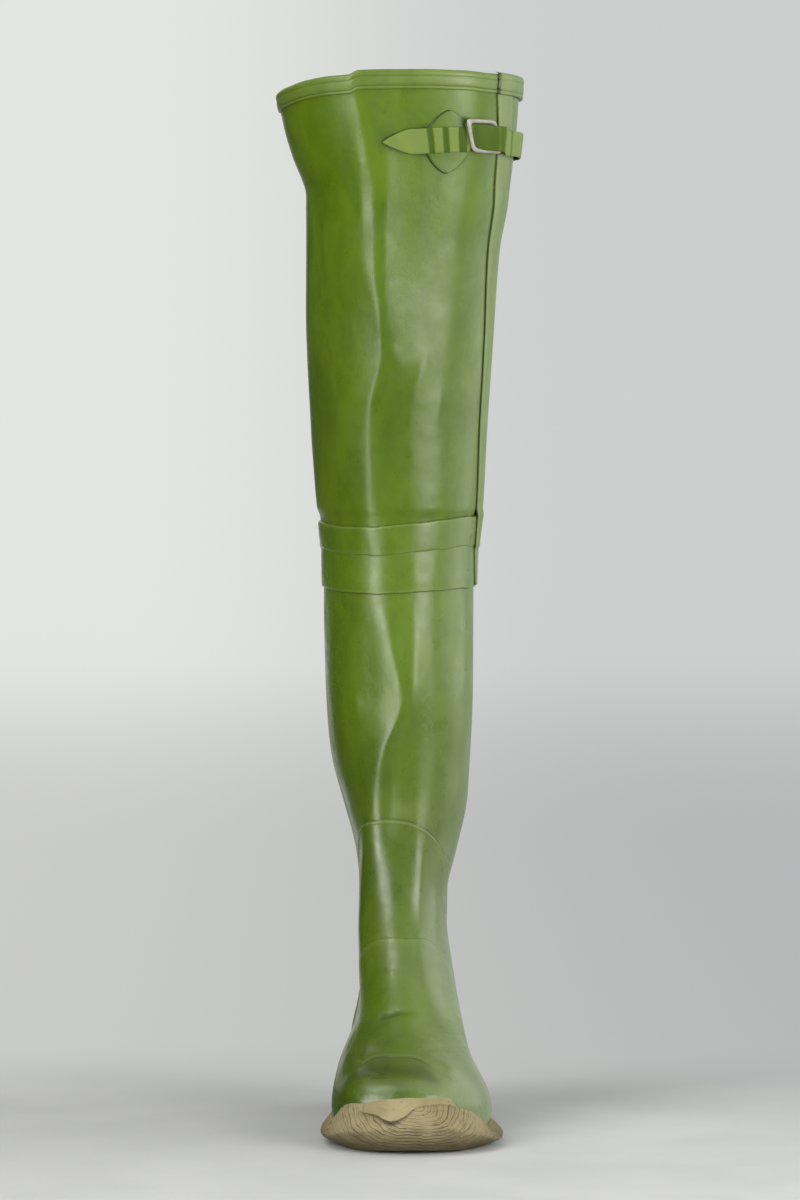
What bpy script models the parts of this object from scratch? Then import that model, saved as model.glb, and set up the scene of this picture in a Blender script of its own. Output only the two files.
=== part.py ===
# Thigh-high rubber boot for the left foot, standing empty on its sole.
# Toe towards -Y, outer side towards +X, up is +Z.
# Named sizes are in millimetres and angles in degrees; points become metres as they are placed.

import math
from functools import lru_cache

import bmesh
import bpy
from mathutils import Matrix, Vector

MM = 0.001
WELD_M = 0.000002
COLUMNS = 36                 # facets round the leg
GAP = 0.3                    # clearance where pieces meet
STEP_TURN = 0.6              # half step used to find the skin's direction round the leg
STEP_LEVEL = 0.4             # half step used to find the skin's direction up the leg
WALK_STEP = 0.5              # turn of one step when a distance is paced out round the leg

# Walls and layers
BOOT_WALL = 2.4
THIGH_WALL = 1.6
FOOT_COVER = 1.2             # step of the foot covering over the bare boot wall
VAMP_THICK = 1.0
COUNTER_THICK = 1.0
HEEL_PATCH_THICK = 1.0
LOWER_BAND_THICK = 1.3
UPPER_BAND_THICK = 2.0
SEAM_THICK = 1.2
BINDING_THICK = 1.2
PATCH_THICK = 1.0
STRAP_THICK = 1.8

# Heights along the leg
FEATHER_LEVEL = 12.0
JOINT_LEVEL = 425.0
RIM_LEVEL = 750.0
BINDING_DROP = 12.0
BINDING_INSIDE_DROP = 8.0
BINDING_CROWN = 1.8
COLLAR_FRONT_RISE = 3.0
COLLAR_INNER_DROP = 6.0
COLLAR_SPAN = 45.0
COLLAR_SHIFT_LOW = 640.0

# Sections of the outer wall, from the sole's seat to above the collar.
# front, back and widest are Y; inner, outer, toe_x and heel_x are X; nose and seat are the
# roundness of the front and back half; waist and taper are how much the foot narrows at its
# arch and towards its heel.
SECTION_COLUMNS = ("level", "front", "back", "widest", "inner", "outer",
                   "toe_x", "heel_x", "nose", "seat", "waist", "taper")
SECTIONS = (
    (12, -187, 84.5, -112, -48.5, 57.0, 3, -2, 2.25, 2.50, 0.16, 0.12),
    (22, -191, 87.5, -112, -51.0, 59.8, 3, -2, 2.25, 2.50, 0.16, 0.12),
    (34, -191.5, 89.5, -112, -50.4, 57.6, 3, -2, 2.25, 2.50, 0.15, 0.11),
    (46, -186, 90.5, -110, -48.0, 51.8, 2, -2, 2.20, 2.55, 0.12, 0.10),
    (56, -172.5, 90.2, -104, -45.0, 46.4, 1, -2, 2.15, 2.65, 0.09, 0.08),
    (67, -149, 89.0, -92, -39.6, 42.8, 1, -2, 2.10, 2.75, 0.05, 0.05),
    (81, -122, 86.5, -66, -32.8, 39.9, 1.5, -1.5, 2.05, 3.00, 0.02, 0.02),
    (98, -99, 83.0, -36, -29.6, 36.6, 2, -1, 2.05, 2.80, 0.0, 0.0),
    (118, -78, 79.5, -8, -29.6, 33.6, 2, -0.5, 2.05, 2.50, 0.0, 0.0),
    (140, -61.5, 77.0, 8, -29.6, 30.8, 1, 0, 2.10, 2.30, 0.0, 0.0),
    (165, -50.3, 77.0, 14, -30.6, 31.6, 1, 0, 2.10, 2.25, 0.0, 0.0),
    (195, -46.4, 80.0, 17, -33.6, 38.8, 1, 0, 2.15, 2.20, 0.0, 0.0),
    (225, -47.5, 85.0, 19, -41.6, 45.0, 1, 0, 2.20, 2.20, 0.0, 0.0),
    (260, -51, 89.5, 20, -51.0, 47.6, -1, -1, 2.25, 2.20, 0.0, 0.0),
    (300, -55, 93.0, 19, -55.4, 50.7, -2, -2, 2.30, 2.20, 0.0, 0.0),
    (360, -59, 94.0, 18, -57.4, 51.5, -3, -3, 2.30, 2.20, 0.0, 0.0),
    (412, -61.5, 92.0, 15.5, -57.6, 52.2, -3, -3, 2.25, 2.20, 0.0, 0.0),
    (437, -63, 91.5, 14.5, -60.0, 55.0, -3, -3, 2.25, 2.20, 0.0, 0.0),
    (444, -64.5, 92.5, 14.5, -62.4, 57.0, -3, -3, 2.25, 2.20, 0.0, 0.0),
    (500, -68, 93.0, 12.5, -66.2, 60.2, -4, -4, 2.30, 2.20, 0.0, 0.0),
    (570, -74, 95.0, 10.5, -70.0, 65.6, -3, -3, 2.35, 2.20, 0.0, 0.0),
    (630, -80, 98.5, 9, -70.0, 70.4, -1, -1, 2.45, 2.20, 0.0, 0.0),
    (660, -83.5, 100.5, 8, -70.2, 75.8, 1, 0, 2.55, 2.20, 0.0, 0.0),
    (675, -85.5, 101.3, 7.5, -71.0, 77.4, 1, 0, 2.60, 2.20, 0.0, 0.0),
    (700, -89, 102.5, 6.5, -80.0, 80.2, 0, -1, 2.70, 2.20, 0.0, 0.0),
    (725, -92.5, 103.5, 5.5, -86.6, 82.4, -2, -2, 2.80, 2.20, 0.0, 0.0),
    (760, -96, 104.5, 4.5, -91.5, 84.0, -3, -3, 2.80, 2.20, 0.0, 0.0),
)

# Rows of the mesh, named by their level at the front of the boot.
COVER_ROWS = (12, 22, 34, 43, 50, 56, 61, 67, 75, 86, 100, 118, 140, 160, 180, 200, 219)
SHIN_ROWS = (240, 265, 300, 345, 384, 412, JOINT_LEVEL)
THIGH_ROWS = (JOINT_LEVEL + GAP, 437, 444, 475, 510, 545, 580, 615, 645, 672, 690, 717, 735, RIM_LEVEL)
TOE_LINE_ROW = 61            # lower edge of the vamp overlay, top of the heel patch
VAMP_LINE_ROW = 140          # upper edge of the vamp overlay, top of the counter
TONGUE_LINE_ROW = 219        # upper edge of the foot covering
CALM_ROW = 300               # rows are level from here up
COVER_EDGE_RISE = 1.0        # height over which the foot covering steps back to the wall

# The three lines that the rows follow round the foot: base height, front rise, back rise
TOE_LINE = {"base": 40, "front": 22, "front_turn": -12, "front_span": 38, "back": 32, "back_span": 45}
VAMP_LINE = {"base": 92, "front": 49, "front_span": 62, "back": 20, "back_span": 50}
TONGUE_LINE = {"base": 128, "front": 92, "front_span": 72, "front_power": 6.0,
               "outer_span": 58, "outer_power": 2.65, "back": 44, "back_span": 50}
LINE_POWER = 4.0             # how squarely a line's rise falls off, where a line says nothing else
LINE_FADE_TURN = 110.0       # from this turn the front rise fades out towards the heel

VAMP_TURN = 70
COUNTER_TURN = 120
HEEL_PATCH_TURN = 130
ABOVE_LIP_ROW = 34           # lowest row that is clear of the outsole's lip at the heel

# Outsole: outline in plan and the heights of its seat, underside and lip
SOLE = {"front": -205, "back": 97, "widest": -112, "inner": -60.0, "outer": 68.8,
        "toe_x": 3, "heel_x": -2, "nose": 2.35, "seat": 2.6, "waist": 0.19, "taper": 0.13}
WAIST_Y = -15
WAIST_SPAN = 45
INNER_WAIST = 1.3
OUTER_WAIST = 0.7
SEAT_RISE_HEEL = 12.0
SEAT_HEEL_FROM_Y = -70.0
SEAT_HEEL_OVER = 100.0
SEAT_RISE_TOE = 4.0
SEAT_TOE_OVER = 50.0
SEAT_FADE_LEVEL = 60.0
SEAT_DROP = 0.9              # floor of the outsole below the upper's lower edge
CUP_GAP = 0.45               # clearance inside the outsole's lip
CUP_ROWS = (34, 22)          # rows of the upper that the inside of the outsole's lip follows
TOE_SPRING = 5.0
TOE_SPRING_Y = -150
UNDERSIDE_RISE = 18.0        # underside of the waist and heel seat above the floor
ARCH_FRONT_Y = -62
ARCH_BACK_Y = -3
HEEL_FRONT_Y = 17
LIP_TOE = 37.0
LIP_TOE_FROM_Y = -132.0
LIP_TOE_OVER = 58.0
LIP_BALL = 18.0
LIP_HEEL = 24.0
LIP_HEEL_FROM_Y = -40.0
LIP_HEEL_OVER = 70.0
LIP_THICK = 1.5
HEEL_TUCK = 3.0              # how far the outsole stands inside the kick spur
HEEL_TUCK_FROM_Y = -5.0
HEEL_TUCK_OVER = 30.0
# Side of the outsole below its widest line: share of the height, inset
SOLE_LOWER_SIDE = ((0.0, 14.0), (0.14, 10.0), (0.30, 3.8))
# Side above the widest line, with three ledges: share of the height, share of the way to the lip
SOLE_UPPER_SIDE = ((0.42, 0.0), (0.51, 0.06), (0.54, 0.26), (0.66, 0.36),
                   (0.69, 0.56), (0.82, 0.66), (0.85, 0.86), (1.0, 1.0))
INSOLE_THICK = 3.0

# Heel block and the spur above it
HEEL = {"front": HEEL_FRONT_Y, "back": 93, "widest": 48, "inner": -39, "outer": 37,
        "toe_x": -1, "heel_x": -2, "nose": 6.0, "seat": 2.4, "waist": 0.0, "taper": 0.0}
HEEL_COLUMNS = 28
HEEL_TAPER = 3.0
SPUR_TURN = 120
SPUR_SEGMENTS = 12
# Cross-section of the spur: reach out of the sole, height
SPUR_PROFILE = ((GAP, 19.0), (5.5, 22.0), (5.5, 26.0), (3.0, 33.0), (GAP, 33.0))
SPUR_END_SHARE = 0.25        # share of the reach that is left at its two ends
SPUR_END_SEGMENTS = 2.5      # segments over which the ends draw in

# Knee bands: heights of their edges, tilt to the outer side and dip at the front
BAND_BOTTOM = {"height": 386.0, "tilt": 0.0, "dip": 3.0}
BAND_MIDDLE = {"height": 415.0, "tilt": 1.2, "dip": 4.2}
BAND_TOP = {"height": 436.5, "tilt": 2.5, "dip": 4.0}
BAND_DIP_TURN = -20
BAND_DIP_SPAN = 40

# Side seam strip: turn of its front edge at each level
SEAM_WIDTH = 24.0
SEAM_ACROSS = 4
SEAM_PATH = ((386, 75), (441, 66), (505, 62), (572, 60), (645, 55), (700, 50), (738, 46))
SEAM_BOTTOM = 387.5
SEAM_STEP_BELOW = 2.0        # the strip begins to climb on the upper band this far below its edge
SEAM_STEP_DONE = 0.4         # and has climbed it this far below
SEAM_RAMP = 6.0              # length over which it comes down from the upper band to the thigh
SEAM_ROWS = (475, 510, 545, 580, 615, 645, 672, 690, 717, RIM_LEVEL - BINDING_DROP - GAP)
BAND_SIDE_TURN = 90.0        # turn at which the strip takes the heights of the bands

# Strap and buckle on the thigh
STRAP_LEVEL = 704.5
STRAP_HALF_WIDTH = 9.0
STRAP_TIP_HALF_WIDTH = 1.2
STRAP_TIP_LENGTH = 19.0
# Height of the strap's back above the thigh at each turn
STRAP_LIFT = ((-5.9, 0.6), (2, 1.6), (22, 1.6), (29, 1.6), (32, 2.0), (36, 3.5), (39, 4.8), (43, 5.9),
              (47, 6.4), (52, 6.2), (58, 5.6), (66, 4.9), (76, 4.0), (92, 3.2), (106, 2.4), (118, 1.2),
              (126, 0.4))
STRAP_TURN_STEP = 4.0
STRAP_GROOVES = (7.8, 14.5, 22.7)    # turns of the three cross grooves
STRAP_GROOVE_HALF_TURN = 1.35
STRAP_GROOVE_DEPTH = 0.7
STRAP_GROOVE_EDGE = 0.25
STRAP_GROOVE_CLEAR = 1.2
PATCH_TURN = 16.0
PATCH_HALF = 22.3            # half height
PATCH_HALF_WIDTH = 19.5
PATCH_ROUND = 1.4
PATCH_POINT = 0.10           # half width of its rounded points, as a share of its half width
PATCH_DROP = 1.0
PATCH_CELLS = 8
BUCKLE_LEFT_TURN = 26.4
BUCKLE_RIGHT_TURN = 46.6
BUCKLE_LEFT_LIFT = 5.7
BUCKLE_RIGHT_LIFT = 3.9
BUCKLE_WIRE = 3.2
BUCKLE_WIRE_DEEP = 2.2
BUCKLE_HALF_HEIGHT = 11.3
BUCKLE_SQUARE = 7.0
BUCKLE_LEAN = 0.26           # the frame is pulled askew: how far its foot lies nearer the outer side
BUCKLE_STEPS = 28
BUCKLE_SIDES = 8

COLOURS = {
    "green_rubber": ((0.160, 0.255, 0.030), 0.38, 0.0),
    "tan_rubber": ((0.360, 0.300, 0.175), 0.85, 0.0),
    "dark_rubber": ((0.022, 0.024, 0.014), 0.60, 0.0),
    "insole_felt": ((0.420, 0.390, 0.310), 0.95, 0.0),
    "nickel": ((0.640, 0.630, 0.590), 0.30, 1.0),
}


def smooth(share):
    share = min(max(share, 0.0), 1.0)
    return share * share * (3.0 - 2.0 * share)


def wrap(turn):
    return (turn + 180.0) % 360.0 - 180.0


def between(pairs, x):
    # straight lines through a short table of pairs
    if x <= pairs[0][0]:
        return pairs[0][1]
    for (x0, y0), (x1, y1) in zip(pairs, pairs[1:]):
        if x <= x1:
            return y0 + (y1 - y0) * (x - x0) / (x1 - x0)
    return pairs[-1][1]


def slope(i, k):
    low = SECTIONS[max(i - 1, 0)]
    high = SECTIONS[min(i + 1, len(SECTIONS) - 1)]
    return (high[k] - low[k]) / (high[0] - low[0])


@lru_cache(maxsize=None)
def section(level):
    # smooth curve through the rows of the section table
    i = 0
    while i < len(SECTIONS) - 2 and level > SECTIONS[i + 1][0]:
        i += 1
    span = SECTIONS[i + 1][0] - SECTIONS[i][0]
    s = (level - SECTIONS[i][0]) / span
    row = {}
    for k, name in enumerate(SECTION_COLUMNS):
        p0 = SECTIONS[i][k]
        p1 = SECTIONS[i + 1][k]
        m0 = slope(i, k) * span
        m1 = slope(i + 1, k) * span
        row[name] = (p0 * (1 + 2 * s) * (1 - s) ** 2 + m0 * s * (1 - s) ** 2
                     + p1 * s * s * (3 - 2 * s) + m1 * s * s * (s - 1))
    return row


def plan_point(row, turn):
    # one section seen from above: turn 0 is the toe side, 90 the outer side
    c = math.cos(math.radians(turn))
    s = math.sin(math.radians(turn))
    end = row["front"] if c >= 0 else row["back"]
    end_x = row["toe_x"] if c >= 0 else row["heel_x"]
    power = 2.0 / (row["nose"] if c >= 0 else row["seat"])
    along = abs(c) ** power
    y = row["widest"] + (end - row["widest"]) * along
    centre = (row["inner"] + row["outer"]) / 2.0
    half = (row["outer"] - row["inner"]) / 2.0
    arch = row["waist"] * math.exp(-((y - WAIST_Y) / WAIST_SPAN) ** 2)
    arch *= OUTER_WAIST if s > 0 else INNER_WAIST
    x = centre + (end_x - centre) * along * along
    narrow = (1.0 - arch) * (1.0 - (row["taper"] * along if c < 0 else 0.0))
    x += math.copysign(abs(s) ** power, s) * half * narrow
    return x, y


def plan_offset(row, turn, grow):
    # the same outline moved outwards in plan
    x0, y0 = plan_point(row, turn - STEP_TURN)
    x1, y1 = plan_point(row, turn + STEP_TURN)
    length = math.hypot(x1 - x0, y1 - y0)
    x, y = plan_point(row, turn)
    return x + (y1 - y0) / length * grow, y - (x1 - x0) / length * grow


def seat_rise(y):
    # the foot's seat stands higher at the heel, and a little at the toe
    heel = SEAT_RISE_HEEL * smooth((y - SEAT_HEEL_FROM_Y) / SEAT_HEEL_OVER)
    toe = SEAT_RISE_TOE * smooth((TOE_SPRING_Y - y) / SEAT_TOE_OVER)
    return heel + toe


def height(level, y):
    return level + seat_rise(y) * (1.0 - smooth((level - FEATHER_LEVEL) / (SEAT_FADE_LEVEL - FEATHER_LEVEL)))


def collar_shift(turn):
    # the collar stands higher in front and lower on the inner side
    front = COLLAR_FRONT_RISE * math.exp(-(wrap(turn) / COLLAR_SPAN) ** 2)
    inner = COLLAR_INNER_DROP * math.exp(-(wrap(turn + 90.0) / COLLAR_SPAN) ** 2)
    return front - inner


def bare_skin(turn, level):
    x, y = plan_point(section(round(level, 4)), turn)
    collar = collar_shift(turn) * smooth((level - COLLAR_SHIFT_LOW) / (RIM_LEVEL - COLLAR_SHIFT_LOW))
    return Vector((x, y, height(level, y) + collar))


def skin(turn, level, offset):
    # a point of the boot's outer wall, moved out of the wall by the offset
    here = bare_skin(turn, level)
    if offset == 0.0:
        return here
    round_leg = bare_skin(turn + STEP_TURN, level) - bare_skin(turn - STEP_TURN, level)
    up_leg = bare_skin(turn, level + STEP_LEVEL) - bare_skin(turn, level - STEP_LEVEL)
    return here + round_leg.cross(up_leg).normalized() * offset


def walk(turn, level, distance):
    # the turn that lies a distance further round the leg
    step = math.copysign(WALK_STEP, distance)
    left = abs(distance)
    here = bare_skin(turn, level)
    while True:
        ahead = bare_skin(turn + step, level)
        length = (ahead - here).length
        if length >= left:
            return turn + step * left / length
        left -= length
        turn += step
        here = ahead


def foot_line(line, turn):
    turn = wrap(turn)
    front = wrap(turn - line.get("front_turn", 0))
    span = line["front_span"]
    power = line.get("front_power", LINE_POWER)
    if front > 0 and "outer_span" in line:
        span = line["outer_span"]
        power = line["outer_power"]
    rise = line["front"] / (1.0 + (abs(front) / span) ** power)
    rise *= 1.0 - smooth((abs(front) - LINE_FADE_TURN) / (180.0 - LINE_FADE_TURN))
    back = line["back"] / (1.0 + ((180.0 - abs(turn)) / line["back_span"]) ** LINE_POWER)
    return line["base"] + rise + back


def row_level(row, turn):
    # rows bend so that three of them follow the edges of the foot's layers
    return between(((FEATHER_LEVEL, FEATHER_LEVEL),
                    (TOE_LINE_ROW, foot_line(TOE_LINE, turn)),
                    (VAMP_LINE_ROW, foot_line(VAMP_LINE, turn)),
                    (TONGUE_LINE_ROW, foot_line(TONGUE_LINE, turn)),
                    (CALM_ROW, CALM_ROW),
                    (SECTIONS[-1][0], SECTIONS[-1][0])), row)


def sole_floor(y):
    return FEATHER_LEVEL - SEAT_DROP + seat_rise(y)


def sole_underside(y):
    spring = TOE_SPRING * (max(TOE_SPRING_Y - y, 0.0) / (TOE_SPRING_Y - SOLE["front"])) ** 2
    arch = UNDERSIDE_RISE * smooth((y - ARCH_FRONT_Y) / (ARCH_BACK_Y - ARCH_FRONT_Y))
    return spring + arch


def lip_level(y):
    toe = (LIP_TOE - LIP_BALL) * smooth((LIP_TOE_FROM_Y - y) / LIP_TOE_OVER)
    heel = (LIP_HEEL - LIP_BALL) * smooth((y - LIP_HEEL_FROM_Y) / LIP_HEEL_OVER)
    return LIP_BALL + toe + heel


def lip_of(turn):
    # level of the outsole's lip where it passes a turn of the upper
    return lip_level(bare_skin(turn, LIP_BALL).y)


def band_edge(edge, turn):
    dip = edge["dip"] * math.exp(-(wrap(turn - BAND_DIP_TURN) / BAND_DIP_SPAN) ** 2)
    return edge["height"] + edge["tilt"] * math.sin(math.radians(turn)) - dip


def material(name):
    found = bpy.data.materials.get(name)
    if found:
        return found
    colour, roughness, metallic = COLOURS[name]
    made = bpy.data.materials.new(name)
    made.use_nodes = True
    shader = made.node_tree.nodes["Principled BSDF"]
    shader.inputs["Base Color"].default_value = (*colour, 1.0)
    shader.inputs["Roughness"].default_value = roughness
    shader.inputs["Metallic"].default_value = metallic
    made.diffuse_color = (*colour, 1.0)
    return made


def grid_piece(name, slot, columns, rows, place, thickness=0.0):
    # a grid laid on the places that the function gives; matching edges are welded shut
    bm = bmesh.new()
    bmesh.ops.create_grid(bm, x_segments=columns, y_segments=rows, size=0.5)
    for vert in bm.verts:
        i = round((vert.co.x + 0.5) * columns)
        j = round((vert.co.y + 0.5) * rows)
        vert.co = place(i, j) * MM
    bmesh.ops.remove_doubles(bm, verts=bm.verts, dist=WELD_M)
    if not thickness:
        bmesh.ops.holes_fill(bm, edges=[e for e in bm.edges if e.is_boundary], sides=0)
        bmesh.ops.recalc_face_normals(bm, faces=bm.faces)
    mesh = bpy.data.meshes.new(name)
    bm.to_mesh(mesh)
    bm.free()
    piece = bpy.data.objects.new(name, mesh)
    bpy.context.scene.collection.objects.link(piece)
    mesh.materials.append(material(slot))
    if thickness:
        solid = piece.modifiers.new("thickness", "SOLIDIFY")
        solid.thickness = thickness * MM
        solid.offset = 1.0
        solid.use_even_offset = True
    return piece


def ring_turn(i):
    return 360.0 * (i % COLUMNS) / COLUMNS


def ring_piece(name, slot, stations):
    # stations give (level, offset) for a turn, in order round the wall; the last meets the first
    def place(i, j):
        turn = ring_turn(i)
        level, offset = stations[j % len(stations)](turn)
        return skin(turn, level, offset)
    return grid_piece(name, slot, COLUMNS, len(stations), place)


def at_row(row, offset, rise=0.0):
    return lambda turn: (row_level(row, turn) + rise, offset)


def at_edge(edge, offset, rise=0.0):
    return lambda turn: (band_edge(edge, turn) + rise, offset)


def at_level(level, offset):
    return lambda turn: (level, offset)


def make_upper():
    outside = [at_row(row, FOOT_COVER) for row in COVER_ROWS]
    outside += [at_row(TONGUE_LINE_ROW, 0.0, COVER_EDGE_RISE)]
    outside += [at_row(row, 0.0) for row in SHIN_ROWS]
    inside = [at_row(row, -BOOT_WALL) for row in reversed(COVER_ROWS + SHIN_ROWS)]
    return ring_piece("upper", "green_rubber", outside + inside)


def make_thigh():
    outside = [at_level(level, 0.0) for level in THIGH_ROWS]
    inside = [at_level(level, -THIGH_WALL) for level in reversed(THIGH_ROWS)]
    return ring_piece("thigh_shaft", "green_rubber", outside + inside)


def make_band(name, low, high, thick):
    stations = [at_edge(low, GAP, GAP / 2), at_edge(low, GAP + thick, GAP / 2),
                at_edge(high, GAP + thick, -GAP / 2), at_edge(high, GAP, -GAP / 2)]
    return ring_piece(name, "green_rubber", stations)


def make_binding():
    out = GAP + BINDING_THICK
    inside = -THIGH_WALL - GAP
    stations = [at_level(RIM_LEVEL - BINDING_DROP, GAP), at_level(RIM_LEVEL - BINDING_DROP, out),
                at_level(RIM_LEVEL, out), at_level(RIM_LEVEL + BINDING_CROWN, out / 2),
                at_level(RIM_LEVEL + BINDING_CROWN, inside + GAP),
                at_level(RIM_LEVEL, inside - BINDING_THICK),
                at_level(RIM_LEVEL - BINDING_INSIDE_DROP, inside - BINDING_THICK),
                at_level(RIM_LEVEL - BINDING_INSIDE_DROP, inside),
                at_level(RIM_LEVEL + GAP, inside), at_level(RIM_LEVEL + GAP, GAP)]
    return ring_piece("collar_binding", "green_rubber", stations)


def make_sheet(name, turns, levels, offset, thickness):
    # a raised layer on the upper: levels give a level for a turn, from its lower to its upper edge
    def place(i, j):
        return skin(turns[i], levels[j](turns[i]), offset)
    return grid_piece(name, "green_rubber", len(turns) - 1, len(levels) - 1, place, thickness)


def turns_across(half, centre):
    step = 360.0 / COLUMNS
    count = round(2 * half / step)
    return [centre - half + step * i for i in range(count + 1)]


def rows_between(low, high):
    return [row for row in COVER_ROWS if low <= row <= high]


def follow(row):
    return lambda turn: row_level(row, turn)


def make_foot_layers():
    make_sheet("vamp_overlay", turns_across(VAMP_TURN, 0.0),
               [follow(row) for row in rows_between(TOE_LINE_ROW, VAMP_LINE_ROW)],
               FOOT_COVER + GAP, VAMP_THICK)
    above_lip = [lambda turn: lip_of(turn) + 2 * GAP]
    make_sheet("heel_counter", turns_across(180 - COUNTER_TURN, 180.0),
               above_lip + [follow(row) for row in rows_between(ABOVE_LIP_ROW, VAMP_LINE_ROW)],
               FOOT_COVER + GAP, COUNTER_THICK)
    make_sheet("heel_patch", turns_across(180 - HEEL_PATCH_TURN, 180.0),
               above_lip + [follow(row) for row in rows_between(ABOVE_LIP_ROW, TOE_LINE_ROW)],
               FOOT_COVER + COUNTER_THICK + 2 * GAP, HEEL_PATCH_THICK)


def sole_side(turn, side):
    # outline of the sole at its widest line
    x, y = plan_point(SOLE, turn)
    tuck = HEEL_TUCK * smooth((y - HEEL_TUCK_FROM_Y) / HEEL_TUCK_OVER)
    return plan_offset(SOLE, turn, -tuck - side)


def make_outsole():
    lower = len(SOLE_LOWER_SIDE)
    upper = len(SOLE_UPPER_SIDE)
    rows = lower + upper + 3 + len(CUP_ROWS) + 1

    def place(i, j):
        turn = ring_turn(i)
        lip = lip_of(turn)
        if j in (0, rows):
            # the ring is pressed flat on its own middle line, which closes the plate
            edge = place(i, 1 if j == 0 else rows - 1)
            other = place(COLUMNS - i, 1 if j == 0 else rows - 1)
            return (edge + other) / 2.0
        lip_out = skin(turn, lip, FOOT_COVER + CUP_GAP + LIP_THICK)
        if j <= lower:
            share, inset = SOLE_LOWER_SIDE[j - 1]
            x, y = sole_side(turn, inset)
            low = sole_underside(y)
            return Vector((x, y, low + (lip_out.z - low) * share))
        if j <= lower + upper:
            share, way = SOLE_UPPER_SIDE[j - lower - 1]
            x, y = sole_side(turn, 0.0)
            low = sole_underside(y)
            flat = Vector((x, y, 0.0)).lerp(Vector((lip_out.x, lip_out.y, 0.0)), way)
            return Vector((flat.x, flat.y, low + (lip_out.z - low) * share))
        inside = j - lower - upper - 1
        if inside == 0:
            return skin(turn, lip, FOOT_COVER + CUP_GAP)
        if inside <= len(CUP_ROWS):
            return skin(turn, min(lip, row_level(CUP_ROWS[inside - 1], turn)), FOOT_COVER + CUP_GAP)
        seat = skin(turn, FEATHER_LEVEL, FOOT_COVER + CUP_GAP)
        return Vector((seat.x, seat.y, sole_floor(seat.y)))

    return grid_piece("outsole", "tan_rubber", COLUMNS, rows, place)


def make_insole():
    def place(i, j):
        if j in (0, 3):
            edge = place(i, 1 if j == 0 else 2)
            other = place(COLUMNS - i, 1 if j == 0 else 2)
            return (edge + other) / 2.0
        edge = skin(ring_turn(i), FEATHER_LEVEL, -BOOT_WALL - GAP)
        thick = 0.0 if j == 1 else INSOLE_THICK
        return Vector((edge.x, edge.y, sole_floor(edge.y) + GAP + thick))
    return grid_piece("insole", "insole_felt", COLUMNS, 3, place)


def make_heel():
    def place(i, j):
        turn = 360.0 * (i % HEEL_COLUMNS) / HEEL_COLUMNS
        x, y = plan_offset(HEEL, turn, -HEEL_TAPER if j == 0 else 0.0)
        return Vector((x, y, 0.0 if j == 0 else UNDERSIDE_RISE - GAP))
    return grid_piece("heel", "green_rubber", HEEL_COLUMNS, 1, place)


def make_spur():
    # a ledge with a slanting top, hugging the back of the outsole
    def place(i, j):
        turn = SPUR_TURN + (360.0 - 2 * SPUR_TURN) * i / SPUR_SEGMENTS
        reach, z = SPUR_PROFILE[j % len(SPUR_PROFILE)]
        fade = smooth(min(i, SPUR_SEGMENTS - i) / SPUR_END_SEGMENTS)
        grow = GAP + (reach - GAP) * (SPUR_END_SHARE + (1.0 - SPUR_END_SHARE) * fade)
        x, y = sole_side(turn, -grow)
        return Vector((x, y, z))
    return grid_piece("kick_spur", "dark_rubber", SPUR_SEGMENTS, len(SPUR_PROFILE), place)


def make_seam_strip():
    over_lower = 2 * GAP + LOWER_BAND_THICK
    over_upper = 2 * GAP + UPPER_BAND_THICK
    stations = [(lambda turn: (SEAM_BOTTOM, over_lower)),
                (lambda turn: (band_edge(BAND_MIDDLE, turn) - SEAM_STEP_BELOW, over_lower)),
                (lambda turn: (band_edge(BAND_MIDDLE, turn) - SEAM_STEP_DONE, over_upper)),
                (lambda turn: (band_edge(BAND_TOP, turn), over_upper)),
                (lambda turn: (band_edge(BAND_TOP, turn) + SEAM_RAMP, GAP))]
    stations += [(lambda turn, level=level: (level, GAP)) for level in SEAM_ROWS]

    def place(i, j):
        level, offset = stations[j](BAND_SIDE_TURN)
        edge = between(SEAM_PATH, level)
        turn = walk(edge, level, SEAM_WIDTH * i / SEAM_ACROSS) if i else edge
        return skin(turn, level, offset)
    return grid_piece("side_seam_strip", "green_rubber", SEAM_ACROSS, len(stations) - 1, place, SEAM_THICK)


def make_strap_patch():
    def place(i, j):
        u = 2.0 * i / PATCH_CELLS - 1.0
        v = 2.0 * j / PATCH_CELLS - 1.0
        # the square grid is drawn in to a leaf with round points
        across = (1.0 - abs(v) ** PATCH_ROUND) ** (1.0 / PATCH_ROUND) if abs(v) < 1.0 else PATCH_POINT
        around = PATCH_HALF_WIDTH * u * (across + PATCH_POINT * (1.0 - abs(v)))
        level = STRAP_LEVEL - PATCH_DROP + PATCH_HALF * v
        turn = walk(PATCH_TURN, level, around) if around else PATCH_TURN
        return skin(turn, level, GAP)
    return grid_piece("strap_patch", "green_rubber", PATCH_CELLS, PATCH_CELLS, place, PATCH_THICK)


def strap_turns():
    first = STRAP_LIFT[0][0]
    last = STRAP_LIFT[-1][0]
    turns = [first + STRAP_TURN_STEP * i for i in range(int((last - first) / STRAP_TURN_STEP) + 1)]
    for groove in STRAP_GROOVES:
        near = STRAP_GROOVE_HALF_TURN + STRAP_GROOVE_CLEAR
        turns = [turn for turn in turns if abs(turn - groove) > near]
        for side in (-1, 1):
            edge = groove + side * STRAP_GROOVE_HALF_TURN
            turns += [edge - STRAP_GROOVE_EDGE / 2, edge + STRAP_GROOVE_EDGE / 2]
    return sorted(turns)


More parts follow.
